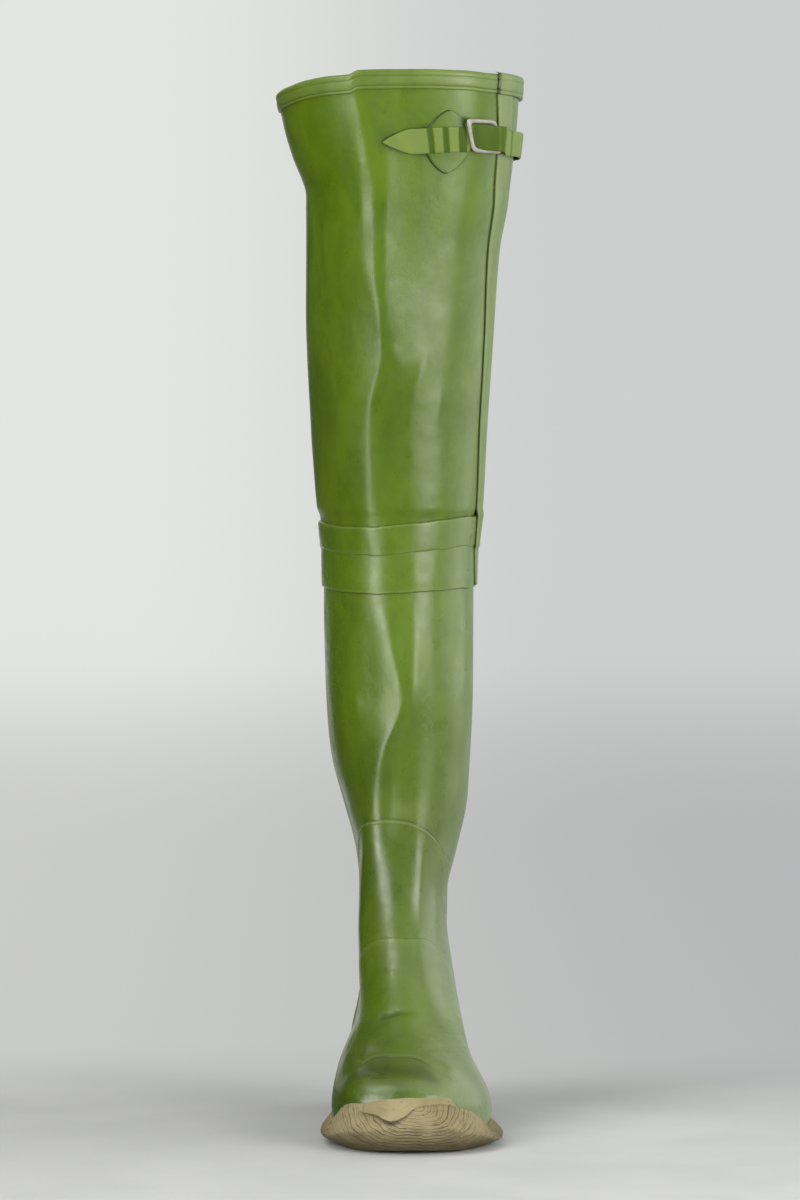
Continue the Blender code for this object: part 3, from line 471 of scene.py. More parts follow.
def spread(tree, value, low, high, toLow=0.0, toHigh=1.0):
    node = tree.nodes.new("ShaderNodeMapRange")
    node.interpolation_type = "SMOOTHSTEP"
    for key, number in zip(("From Min", "From Max", "To Min", "To Max"), (low, high, toLow, toHigh)):
        node.inputs[key].default_value = number
    tree.links.new(value, node.inputs["Value"])
    return node.outputs["Result"]


def maths(tree, kind, a, b):
    node = tree.nodes.new("ShaderNodeMath")
    node.operation = kind
    link(tree, a, node.inputs[0])
    link(tree, b, node.inputs[1])
    return node.outputs[0]


def blendColour(tree, share, a, b, kind="MIX"):
    node = tree.nodes.new("ShaderNodeMix")
    node.data_type = "RGBA"
    node.blend_type = kind
    link(tree, share, node.inputs["Factor"])
    for value, key in ((a, "A"), (b, "B")):
        socket = [s for s in node.inputs if s.name == key and s.type == "RGBA"][0]
        link(tree, (*value, 1.0) if isinstance(value, tuple) else value, socket)
    return [s for s in node.outputs if s.type == "RGBA"][0]


def attribute(tree, name):
    node = tree.nodes.new("ShaderNodeAttribute")
    node.attribute_name = name
    return node.outputs["Fac"]


def bump(tree, shader, heights):
    # heights are pairs of a value and its depth in metres
    normal = None
    for value, depth in heights:
        node = tree.nodes.new("ShaderNodeBump")
        node.inputs["Strength"].default_value = 1.0
        node.inputs["Distance"].default_value = depth
        tree.links.new(value, node.inputs["Height"])
        if normal:
            tree.links.new(normal, node.inputs["Normal"])
        normal = node.outputs["Normal"]
    tree.links.new(normal, shader.inputs["Normal"])


def axisOf(tree, coords, axis):
    node = tree.nodes.new("ShaderNodeSeparateXYZ")
    tree.links.new(coords, node.inputs[0])
    return node.outputs[axis]


def threadWeave(tree, distortion):
    # two crossed sets of threads on the piece's own map
    uv = tree.nodes.new("ShaderNodeUVMap")
    uv.uv_map = "weave"
    threads = []
    for axis in ("X", "Y"):
        node = tree.nodes.new("ShaderNodeTexWave")
        node.bands_direction = axis
        node.inputs["Scale"].default_value = 1.0
        node.inputs["Distortion"].default_value = distortion
        tree.links.new(uv.outputs["UV"], node.inputs["Vector"])
        threads.append(node.outputs["Fac"])
    return maths(tree, "MULTIPLY", threads[0], threads[1])


rubberLook = {"deep": (0.047, 0.090, 0.0016), "mid": (0.070, 0.123, 0.0036), "bloomSheen": (0.165, 0.215, 0.066),
              "dust": (0.200, 0.240, 0.135), "groove": (0.006, 0.012, 0.001), "roughLow": 0.24, "roughHigh": 0.36,
              "specular": 0.42, "coat": 0.03}
# painted light and shade by height: the green duller at the foot and over the knee, where less light falls
heightShading = ((0.0, 0.70), (0.04, 0.64), (0.062, 0.68), (0.09, 0.86), (0.13, 0.76), (0.165, 0.72), (0.21, 0.78),
               (0.27, 0.90), (0.345, 1.06), (0.40, 1.0), (0.45, 0.92), (0.50, 0.88), (0.60, 0.94), (0.68, 1.02),
               (0.76, 1.08))


def shadeByHeight(tree, coords, heightShades):
    # a ramp holds no more than 1, so the tones are kept smaller in it
    most = 1.2
    ramp = tree.nodes.new("ShaderNodeValToRGB")
    ends = ramp.color_ramp.elements
    tall = heightShades[-1][0]
    for k, (height, paintedShade) in enumerate(heightShades):
        stop = ends[0] if k == 0 else ends[-1] if k == len(heightShades) - 1 else ends.new(height / tall)
        stop.color = (paintedShade / most, paintedShade / most, paintedShade / most, 1.0)
    tree.links.new(maths(tree, "DIVIDE", axisOf(tree, coords, "Z"), tall), ramp.inputs["Fac"])
    return maths(tree, "MULTIPLY", ramp.outputs["Color"], most)


def makeRubber(name, look, bloomAndSheenShare, heightShades=None, cloth=False):
    tree, shader, coords = startMaterial(name)
    tall = tree.nodes.new("ShaderNodeVectorMath")
    tall.operation = "MULTIPLY"
    tree.links.new(coords, tall.inputs[0])
    tall.inputs[1].default_value = (1.0, 1.0, 0.5)
    clouds = noise(tree, tall.outputs["Vector"], 30.0, 5.0, 0.6, 0.5)
    fine = noise(tree, coords, 150.0, 4.0, 0.65)
    colour = blendColour(tree, spread(tree, clouds, 0.34, 0.66), look["deep"], look["mid"])
    colour = blendColour(tree, spread(tree, fine, 0.35, 0.7, 0.0, 0.4), colour, look["mid"])
    # painted light and shade: the colour scaled by height
    if heightShades:
        paintedShade = shadeByHeight(tree, coords, heightShades)
        grey = tree.nodes.new("ShaderNodeCombineColor")
        for key in ("Red", "Green", "Blue"):
            tree.links.new(paintedShade, grey.inputs[key])
        colour = blendColour(tree, 1.0, colour, grey.outputs["Color"], "MULTIPLY")
    # chalky bloom in clouds, thicker on the outer side, where it is partly painted reflection of the light from that
    # side, and an even dust on the outer side of the foot, partly painted reflection too
    side = spread(tree, axisOf(tree, coords, "X"), -0.02, 0.07, 0.10, 1.0)
    patches = spread(tree, noise(tree, coords, 26.0, 6.0, 0.68, 0.6), 0.40, 0.66)
    if heightShades:
        side = maths(tree, "MULTIPLY", side, spread(tree, axisOf(tree, coords, "Z"), 0.56, 0.68, 1.0, 0.25))
    mottled = maths(tree, "ADD", maths(tree, "MULTIPLY", patches, 0.5), 0.45)
    bloomAndSheen = maths(tree, "MULTIPLY", maths(tree, "MULTIPLY", side, mottled), bloomAndSheenShare)
    bloomAndSheen = maths(tree, "MULTIPLY", bloomAndSheen, spread(tree, attribute(tree, "groove"), 0.0, 0.3, 1.0, 0.0))
    colour = blendColour(tree, bloomAndSheen, colour, look["bloomSheen"])
    # the dust low on the outer side, partly painted reflection
    low = spread(tree, axisOf(tree, coords, "Z"), 0.30, 0.10)
    low = maths(tree, "MULTIPLY", low, spread(tree, axisOf(tree, coords, "X"), -0.012, 0.055))
    low = maths(tree, "MULTIPLY", low, maths(tree, "ADD", maths(tree, "MULTIPLY", patches, 0.25), 0.35))
    colour = blendColour(tree, low, colour, look.get("dust", look["bloomSheen"]))
    # pinprick specks, then what the mesh carries: wear with a painted gleam, and painted shade in grooves, hollows and
    # under edges, with some dirt
    specks = spread(tree, noise(tree, coords, 640.0, 1.0, 0.4), 0.75, 0.79)
    specks = maths(tree, "MULTIPLY", specks, spread(tree, noise(tree, coords, 26.0, 2.0), 0.61, 0.73))
    colour = blendColour(tree, maths(tree, "MULTIPLY", specks, 0.07), colour, look["groove"])
    colour = blendColour(tree, attribute(tree, "wearAndGleam"), colour, look["bloomSheen"])
    colour = blendColour(tree, attribute(tree, "groove"), colour, look["groove"])
    tree.links.new(colour, shader.inputs["Base Color"])
    rough = spread(tree, noise(tree, coords, 60.0, 5.0, 0.65), 0.32, 0.68, look["roughLow"], look["roughHigh"])
    rough = maths(tree, "ADD", rough, maths(tree, "MULTIPLY", bloomAndSheen, 0.12))
    tree.links.new(rough, shader.inputs["Roughness"])
    shader.inputs["Specular IOR Level"].default_value = look.get("specular", 0.5)
    shader.inputs["Coat Weight"].default_value = look.get("coat", 0.0)
    shader.inputs["Coat Roughness"].default_value = 0.3
    heights = [(noise(tree, coords, 420.0, 3.0, 0.6), 0.00005), (noise(tree, coords, 130.0, 3.0), 0.00012),
               (noise(tree, coords, 38.0, 2.0), 0.0004)]
    if cloth:
        # the cloth under thin rubber shows as a fine slanted weave
        seen = spread(tree, noise(tree, coords, 45.0, 3.0), 0.42, 0.62, 0.15, 1.0)
        heights.append((maths(tree, "MULTIPLY", threadWeave(tree, 1.2), seen), 0.00002))
    bump(tree, shader, heights)


tanLook = {"pale": (0.245, 0.208, 0.112), "mid": (0.185, 0.153, 0.076), "dark": (0.062, 0.047, 0.019),
           "crevice": (0.010, 0.008, 0.004), "layer": 2.3}


def makeTan(name, look):
    tree, shader, coords = startMaterial(name)
    colour = blendColour(tree, spread(tree, noise(tree, coords, 45.0, 5.0, 0.6), 0.3, 0.7), look["mid"], look["pale"])
    # cut layers: the mesh carries the layer field, and each layer ends in a ragged dark line, dirt and painted shade in
    # its step
    ragged = maths(tree, "MULTIPLY", maths(tree, "SUBTRACT", noise(tree, coords, 190.0, 4.0, 0.6), 0.5), 1.5)
    field = maths(tree, "DIVIDE", maths(tree, "ADD", attribute(tree, "layer"), ragged), look["layer"])
    lined = attribute(tree, "lined")
    cuts = []
    for pace, keep in ((1.0, 0.8), (2.0, 0.4)):
        share = maths(tree, "FRACT", maths(tree, "MULTIPLY", field, pace), 0.0)
        cut = maths(tree, "MULTIPLY", spread(tree, share, 0.66, 0.86), spread(tree, share, 1.0, 0.94))
        seen = spread(tree, noise(tree, coords, 70.0 * pace, 3.0), 0.38, 0.58, 0.12, keep)
        cuts.append(maths(tree, "MULTIPLY", maths(tree, "MULTIPLY", cut, seen), lined))
    cuts = maths(tree, "MAXIMUM", cuts[0], cuts[1])
    colour = blendColour(tree, cuts, colour, look["dark"])
    # painted shade: darker towards the bottom, where the sole turns under
    low = spread(tree, axisOf(tree, coords, "Z"), 0.017, 0.003, 0.0, 0.65)
    colour = blendColour(tree, low, colour, look["dark"])
    pits = spread(tree, noise(tree, coords, 420.0, 2.0), 0.66, 0.74)
    colour = blendColour(tree, maths(tree, "MULTIPLY", pits, 0.4), colour, look["dark"])
    # painted shade from the mesh's groove mark, in the sole's crevices
    colour = blendColour(tree, attribute(tree, "groove"), colour, look["crevice"])
    tree.links.new(colour, shader.inputs["Base Color"])
    shader.inputs["Roughness"].default_value = 0.82
    shader.inputs["Specular IOR Level"].default_value = 0.3
    bump(tree, shader, ((noise(tree, coords, 700.0, 3.0), 0.00012), (noise(tree, coords, 130.0, 4.0), 0.0004),
                        (cuts, -0.0005), (pits, -0.0003)))


nickelLook = {"bright": (0.340, 0.325, 0.290), "stained": (0.235, 0.220, 0.190), "roughLow": 0.48, "roughHigh": 0.62,
              "metallic": 0.6, "specular": 0.3}


def makeNickel(name, look):
    tree, shader, coords = startMaterial(name)
    stain = spread(tree, noise(tree, coords, 180.0, 4.0, 0.65), 0.35, 0.75)
    tree.links.new(blendColour(tree, stain, look["bright"], look["stained"]), shader.inputs["Base Color"])
    rough = spread(tree, noise(tree, coords, 320.0, 3.0), 0.3, 0.7, look["roughLow"], look["roughHigh"])
    tree.links.new(rough, shader.inputs["Roughness"])
    shader.inputs["Metallic"].default_value = look["metallic"]
    shader.inputs["Specular IOR Level"].default_value = look["specular"]
    bump(tree, shader, ((noise(tree, coords, 800.0, 2.0), 0.00004),))


def makeCotton(name, pale, dark):
    tree, shader, coords = startMaterial(name)
    weave = threadWeave(tree, 0.8)
    colour = blendColour(tree, spread(tree, weave, 0.1, 0.7), dark, pale)
    stain = spread(tree, noise(tree, coords, 18.0, 5.0, 0.6), 0.45, 0.75, 0.0, 0.5)
    tree.links.new(blendColour(tree, stain, colour, dark), shader.inputs["Base Color"])
    shader.inputs["Roughness"].default_value = 0.95
    shader.inputs["Sheen Weight"].default_value = 0.3
    bump(tree, shader, ((weave, 0.0003), (noise(tree, coords, 600.0, 2.0), 0.0002)))


def makeFelt(name, pale, dark):
    tree, shader, coords = startMaterial(name)
    fuzz = noise(tree, coords, 520.0, 6.0, 0.7)
    colour = blendColour(tree, spread(tree, fuzz, 0.3, 0.7), dark, pale)
    tread = spread(tree, noise(tree, coords, 28.0, 3.0), 0.4, 0.7, 0.0, 0.5)
    tree.links.new(blendColour(tree, tread, colour, dark), shader.inputs["Base Color"])
    shader.inputs["Roughness"].default_value = 0.95
    bump(tree, shader, ((fuzz, 0.0006),))


makeRubber("greenRubber", rubberLook, 0.45, heightShading)
makeRubber("thighRubber", {**rubberLook, "specular": 0.32, "coat": 0.0, "roughLow": 0.26, "roughHigh": 0.38},
           0.40, heightShading, cloth=True)
makeRubber("paleRubber", {**rubberLook, "deep": (0.060, 0.106, 0.006), "mid": (0.085, 0.136, 0.015),
                          "roughLow": 0.34, "roughHigh": 0.46}, 0.55)
makeRubber("strapRubber", {**rubberLook, "deep": (0.056, 0.100, 0.004), "mid": (0.080, 0.130, 0.011),
                           "groove": (0.034, 0.066, 0.0025), "roughLow": 0.45, "roughHigh": 0.6,
                           "specular": 0.12, "coat": 0.0}, 0.5)
makeRubber("heelRubber", {**rubberLook, "deep": (0.055, 0.060, 0.036), "mid": (0.080, 0.086, 0.054),
                          "bloomSheen": (0.13, 0.13, 0.10), "dust": (0.11, 0.11, 0.09),
                          "roughLow": 0.5, "roughHigh": 0.7}, 0.5)
makeRubber("darkRubber", {"deep": (0.010, 0.011, 0.006), "mid": (0.018, 0.019, 0.012), "bloomSheen": (0.028, 0.029, 0.021),
                          "groove": (0.002, 0.002, 0.001), "roughLow": 0.45, "roughHigh": 0.65}, 0.4)
makeTan("tanRubber", tanLook)
makeNickel("wornNickel", nickelLook)
makeCotton("liningCotton", (0.62, 0.57, 0.44), (0.36, 0.32, 0.22))
makeFelt("insoleFelt", (0.46, 0.42, 0.33), (0.25, 0.22, 0.16))
print("materials made")


# Upper with its foot covering, which steps back to the bare wall at the instep line

upperShape = {"columns": 216, "rowStep": 1.8, "shinStep": 2.4, "bead": 0.28, "insideRows": 24,
              "edgeRows": (215.8, 216.6, 217.2, 217.8, 218.2, 218.6, 219.0, 219.3, 219.6, 220.0, 220.6, 221.6, 223.0)}


def makeUpper(shape):
    outside = np.concatenate((np.arange(footRows["seat"], 215.0, shape["rowStep"]), shape["edgeRows"],
                              np.arange(225.0, walls["joint"], shape["shinStep"]), (walls["joint"],)))
    inside = np.linspace(walls["joint"], footRows["seat"], shape["insideRows"])
    rows = np.concatenate((outside, inside, outside[:1]))
    cover = walls["cover"] * (1.0 - smooth((outside - 218.2) / 1.5))
    cover += shape["bead"] * bell(outside - 217.8, 0.8)
    offsets = np.concatenate((cover, np.full(len(inside), -walls["boot"]), cover[:1]))
    turn = ringGrid(shape["columns"], len(rows))
    row = np.broadcast_to(rows, turn.shape)
    points = skin(turn, rowLevel(row, turn), np.broadcast_to(offsets, turn.shape))
    x, z = points[..., 0], points[..., 2]
    front = np.abs(turn) < 80
    outer = np.arange(len(rows)) < len(outside)
    # painted shade at the edge of the covering and in the hollow under the vamp
    hollowShade = 0.42 * bell(row - 55.5, 4.5) * smooth((x + 42.0) / 10.0) * smooth((26.0 - x) / 12.0) * (row < 61.5)
    groove = np.maximum(0.45 * bell(rows - 219.9, 0.5), hollowShade * front * outer)
    # the edge paler, partly rubbed and partly a painted highlight along it, a rub over the instep and scuffs on the
    # shin
    wearAndGleam = 0.35 * bell(rows - 217.9, 0.7) + 0.22 * spot(x, z, 5.0, 227.0, 13.0, 8.0) * (row > 219.6) * front
    wearAndGleam = wearAndGleam + 0.4 * scuffs(x, z, 0.0) * spot(x, z, 17.0, 296.0, 6.0, 18.0) * front
    return gridPiece("upper_skin", points, "greenRubber", ("upper",), {"groove": groove, "wearAndGleam": wearAndGleam})


makeUpper(upperShape)


# Layers on the foot: the vamp shield, the heel counter and the heel patch

def makeLayer(name, node, turns, rows, base, thick, corner, feather, softFoot=False):
    turn, row = np.meshgrid(turns, rows, indexing="ij")
    level = rowLevel(row, turn)
    flat = barePoint(turn, level)
    away = edgeDistance(flat, corner)
    share = roundedStep(away / feather)
    sunk = 0.25
    # painted shade in a thin dark line along the layer's edge
    marks = {"groove": 0.4 * bell(np.maximum(away - 0.1, 0.0), 0.5)}
    if softFoot:
        # the lower edge is a soft step that fades out towards both sides
        x, z = flat[..., 0], flat[..., 2]
        up = paced(flat, 1)
        near = up < 24.0
        fadeOut = smooth((x - 4.0) / 24.0) + smooth((-30.0 - x) / 12.0)
        share = np.where(near, np.minimum(share, smooth(up / (6.5 + 12.0 * fadeOut))), share)
        sunk = np.where(away < 24.0, 0.06, sunk)
        # painted shade under the soft step and in the toe crease
        footGroove = 0.55 * bell(up - 1.2, 1.6) * (1.0 - np.minimum(fadeOut, 1.0))
        creased = 0.5 * np.clip(-foldHeight(x, z, toeCrease) / 1.5, 0.0, 1.0) ** 2
        marks["groove"] = np.maximum(np.where(near, footGroove, marks["groove"]), creased)
        smear = waves(x, z, ((0.21, 0.3, 0.0), (0.43, -0.5, 2.0), (0.8, 0.7, 4.0)))
        marks["wearAndGleam"] = np.where(near, 0.0, 0.28 * bell(away - 2.5, 2.2) * (0.6 + 0.4 * smear))
    points = skin(turn, level, base - sunk + (thick + sunk) * share)
    return gridPiece(name, points, "greenRubber", (node,), marks)


makeLayer("vamp_layer", "vamp_overlay", np.linspace(-70, 70, 141),
          np.concatenate((np.linspace(footRows["toe"], 67, 13), np.linspace(68, 135, 40),
                          np.linspace(136, footRows["vamp"], 8))),
          walls["cover"], 0.9, 16.0, 1.6, softFoot=True)
makeLayer("heel_counter_layer", "heel_counter", np.linspace(120, 240, 97),
          np.concatenate((np.linspace(30, 136, 60), np.linspace(136.5, footRows["vamp"], 8))),
          walls["cover"], 1.1, 12.0, 3.5)
makeLayer("heel_patch_layer", "heel_patch", np.linspace(130, 230, 81),
          np.concatenate((np.linspace(30, 58, 24), np.linspace(58.5, footRows["toe"], 7))),
          walls["cover"] + 1.0, 1.1, 8.0, 1.3)


# Thigh shaft, and the strap's line, along which dirt and painted shadow lie; lift is the strap's height over the wall
# at a turn

strapShape = {"level": 704.5, "half": 9.0, "tip": 19.0, "tipPower": 0.72, "tipTurn": -5.9, "endTurn": 126.0,
              "thick": 1.8, "grooves": (7.8, 14.5, 23.2), "grooveHalf": (1.15, 1.35, 2.2), "grooveDepth": 0.6,
              "slant": 0.7, "lapTurn": 56.0, "lapDepth": 0.5,
              "lift": ((-5.9, 0.6), (2, 1.6), (22, 1.6), (29, 1.6), (32, 2.0), (36, 3.5), (39, 4.8), (43, 5.9),
                       (47, 6.4), (52, 6.2), (58, 5.6), (66, 4.9), (76, 4.0), (92, 3.2), (106, 2.4), (118, 1.2),
                       (126, 0.4))}


def strapLevel(turn):
    # the strap climbs a little from its tip to the buckle and rides up inside it
    inside = smooth((turn - 26.0) / 3.0) * smooth((51.5 - turn) / 2.4)
    return strapShape["level"] - 2.2 + 2.2 * smooth((turn + 6.0) / 34.0) + 2.6 * inside


def buckleShade(points):
    # the wall is darker in the shelter of the buckle
    return 0.45 * spot(points[..., 0], points[..., 2], 41.0, 718.0, 4.5, 7.5)


thighShape = {"columns": 240, "step": 2.2, "insideRows": 20}


def makeThigh(shape):
    bottom, top = walls["joint"] + 0.3, walls["rim"] - 1.5
    outside = np.append(np.arange(bottom, top, shape["step"]), top)
    inside = np.linspace(top, bottom, shape["insideRows"])
    levels = np.concatenate((outside, inside, outside[:1]))
    offsets = np.concatenate((np.zeros(len(outside)), np.full(len(inside), -walls["thigh"]), (0.0,)))
    turn = ringGrid(shape["columns"], len(levels))
    points = skin(turn, np.broadcast_to(levels, turn.shape), np.broadcast_to(offsets, turn.shape))
    x, z = points[..., 0], points[..., 2]
    outer = np.arange(len(levels)) < len(outside)
    # painted shadow round the strap's tip and along its edges, with some dirt at the tip
    atTip = np.hypot((x + 14.0) / 7.0, (z - 704.0) / 6.0)
    shadowAndDirt = 0.5 * np.exp(-atTip ** 1.5) * outer * (np.abs(turn) < 90)
    fromTip = (turn - strapShape["tipTurn"]) * 1.45 / strapShape["tip"]
    reach = strapShape["half"] * np.clip(fromTip, 0.0, 1.0) ** strapShape["tipPower"]
    off = np.abs(levels - strapLevel(turn)) - reach
    beside = smooth((turn + 8.0) / 3.0) * smooth((29.0 - turn) / 3.0)
    shadowAndDirt = np.maximum(shadowAndDirt, 0.65 * bell(off - 0.5, 1.7) * beside * outer)
    # short scuffs on the front, and the buckle's painted shadow
    place = spot(x, z, 15.0, 623.0, 4.0, 9.0) + 0.6 * spot(x, z, 12.0, 588.0, 3.0, 6.0)
    scuffsAndShadow = 0.4 * scuffs(x, z, 0.5) * place + buckleShade(points)
    shadowAndDirt = np.maximum(shadowAndDirt, scuffsAndShadow * outer * (np.abs(turn) < 80))
    # threads on the slant, 1.7 mm apart
    around = turn * 1.3
    uv = np.stack((around + levels, around - levels), axis=-1) * (0.314 / (1.7 * 1.414))
    return gridPiece("thigh_skin", points, "thighRubber", ("thigh_shaft",), {"groove": shadowAndDirt}, uv)


makeThigh(thighShape)


# Knee bands

bandEdges = {"bottom": {"height": 386.0, "tilt": 0.0, "dip": 3.0, "uneven": 0.35},
             "middle": {"height": 415.0, "tilt": 1.2, "dip": 4.2, "uneven": 0.8},
             "top": {"height": 436.5, "tilt": 2.5, "dip": 4.0, "uneven": 0.4}}


def makeBand(name, node, low, high, thick, tuck, edgeRound):
    turns = ringTurns(240)
    lowLevel = bandEdge(bandEdges[low], turns)[:, None]
    highLevel = bandEdge(bandEdges[high], turns)[:, None] + tuck
    edge = np.array((0.0, 0.12, 0.3, 0.55, 0.9, 1.4, 2.2, 3.5))
    middle = np.linspace(0.0, 1.0, 9)[1:-1]
    level = np.concatenate((lowLevel + edge, lowLevel + 3.5 + (highLevel - lowLevel - 7.0) * middle,
                            highLevel - edge[::-1]), axis=1)
    turn = np.repeat(turns[:, None], level.shape[1], axis=1)
    away = np.minimum(level - lowLevel, highLevel - level)
    swell = 0.25 * smooth(away / 9.0)
    points = skin(turn, level, -0.3 + (thick + 0.6) * roundedStep(away / edgeRound) + swell)
    # painted shade in a thin dark line along both edges
    groove = 0.55 * bell(away, 0.35)
    wearAndGleam = 0.25 * bell(away - 1.2, 0.8)
    return gridPiece(name, points, "greenRubber", (node,), {"groove": groove, "wearAndGleam": wearAndGleam})


makeBand("knee_band_lower_layer", "knee_band_lower", "bottom", "middle", 1.3, 3.0, 1.1)
makeBand("knee_band_upper_layer", "knee_band_upper", "middle", "top", 2.0, 0.0, 1.5)


# Collar binding: a folded tape with grooves, and the end of the tape lapped over it on the outer side
# its profile is the height along the tape and how far it stands out of the wall

bindingProfile = ((0.0, -0.3), (0.0, 0.4), (0.25, 1.0), (0.7, 1.3), (1.6, 1.35), (2.2, 1.2), (2.5, 0.75), (2.8, 1.2),
                  (3.4, 1.45), (5.0, 1.6), (7.0, 1.6), (8.8, 1.5), (9.2, 1.25), (9.6, 1.5), (10.4, 1.65), (11.4, 1.6),
                  (12.4, 1.3), (13.2, 0.7), (13.7, -0.3), (13.8, -1.4), (13.4, -2.4), (12.4, -3.1), (10.0, -3.2),
                  (6.0, -3.1), (4.2, -2.9), (4.0, -1.9))
# painted shade in the binding's grooves and along its lower edge against the wall
bindingGrooves = np.array([1.0 if rise in (0.0, 2.5) else 0.35 if rise == 9.2 else 0.0 for rise, out in bindingProfile])


def makeBinding(profile):
    profile = np.array(profile + profile[:1])
    turn = ringGrid(240, len(profile))
    uneven = 0.35 * waves(np.radians(turn), 0.0, ((6, 0, 1.0), (11, 0, 3.0), (19, 0, 5.1)))
    level = walls["rim"] - 12.0 + profile[:, 0] + uneven
    points = skin(turn, level, np.broadcast_to(profile[:, 1], turn.shape))
    groove = np.broadcast_to(0.5 * np.append(bindingGrooves, bindingGrooves[0]), turn.shape)
    return gridPiece("collar_tape", points, "paleRubber", ("collar_binding",), {"groove": groove})


def makeTapeEnd(profile):
    profile = np.array(profile[:20])
    share = np.linspace(0.0, 1.0, 61)[:, None]
    ragged = 0.7 * waves(profile[:, 0], 0.0, ((1.1, 0, 0.2), (2.3, 0, 1.5), (4.1, 0, 2.8)))
    turn = 45.5 + ragged * (1.0 - share) + 52.0 * share
    lift = 1.6 * roundedStep(np.minimum(share, 1.0 - share) / 0.02)
    level = walls["rim"] - 12.6 + profile[:, 0] * 1.13
    out = np.maximum(profile[:, 1], -1.2) + 1.2 * (profile[:, 1] > -0.2)
    points = skin(turn, np.broadcast_to(level, turn.shape), out + lift - 1.0)
    # painted shade along the cut edges of the end and in its grooves
    groove = bell(share, 0.02) + 0.35 * bindingGrooves[:20]
    return gridPiece("collar_tape_end", points, "paleRubber", (), {"groove": np.clip(groove, 0, 1)})


makeBinding(bindingProfile)
makeTapeEnd(bindingProfile)


# Side seam strip, over the bands and up the outer side of the thigh

stripShape = {"width": 24.0, "bottom": 387.0, "top": 738.5, "thick": 1.2,
              "path": ((386, 75), (441, 66), (505, 62), (572, 60), (645, 55), (700, 50), (738, 46))}


def walkTurns(turn, level, distances):
    # turns that lie the given distances round the leg from the start
    steps = turn[:, None] + np.linspace(-60.0, 110.0, 341)[None, :]
    flat = barePoint(steps, np.repeat(level[:, None], steps.shape[1], axis=1))
    walked = paced(flat, 1)
    start = np.array([np.interp(t, s, w) for t, s, w in zip(turn, steps, walked)])
    return np.stack([np.interp(b + distances, w, s) for b, w, s in zip(start, walked, steps)])


def makeStrip(shape):
    levels = np.concatenate((np.linspace(shape["bottom"], 450.0, 64), np.linspace(452.0, shape["top"], 120)))
    path = np.array(shape["path"])
    frontEdge = np.interp(levels, path[:, 0], path[:, 1])
    width = shape["width"]
    rim = np.array((0.0, 0.1, 0.25, 0.5, 0.9, 1.5))
    lanes = np.concatenate((rim, np.linspace(3.0, width - 3.0, 10), width - rim[::-1]))
    turn = walkTurns(frontEdge, levels, lanes)
    level = np.repeat(levels[:, None], len(lanes), axis=1)
    middle = bandEdge(bandEdges["middle"], np.array(80.0))
    top = bandEdge(bandEdges["top"], np.array(80.0))
    # it steps up over the upper band and down to the thigh
    base = 1.7 + 0.8 * smooth((levels - middle + 2.4) / 2.2) - 2.3 * smooth((levels - top + 0.5) / 6.0)
    away = np.minimum(lanes, width - lanes)
    foot = roundedStep((levels - shape["bottom"]) / 1.4)[:, None]
    rib = 0.35 * bell(lanes - 9.5, 1.6)
    offset = base[:, None] - 0.4 + ((shape["thick"] + 0.4) * roundedStep(away / 1.0) + rib) * foot
    points = skin(turn, level, offset)
    # painted shade in thin dark lines along both edges, darkest in the gap at the front edge
    groove = np.broadcast_to(np.where(lanes < 2.0, 0.95, 0.4) * bell(away, 0.45), turn.shape)
    wearAndGleam = np.broadcast_to(0.4 * bell(away - 1.6, 1.2), turn.shape)
    points = np.swapaxes(points, 0, 1)
    return gridPiece("side_strip", points, "paleRubber", ("side_seam_strip",), {"groove": groove.T, "wearAndGleam": wearAndGleam.T})


makeStrip(stripShape)


# Strap with its patch and buckle

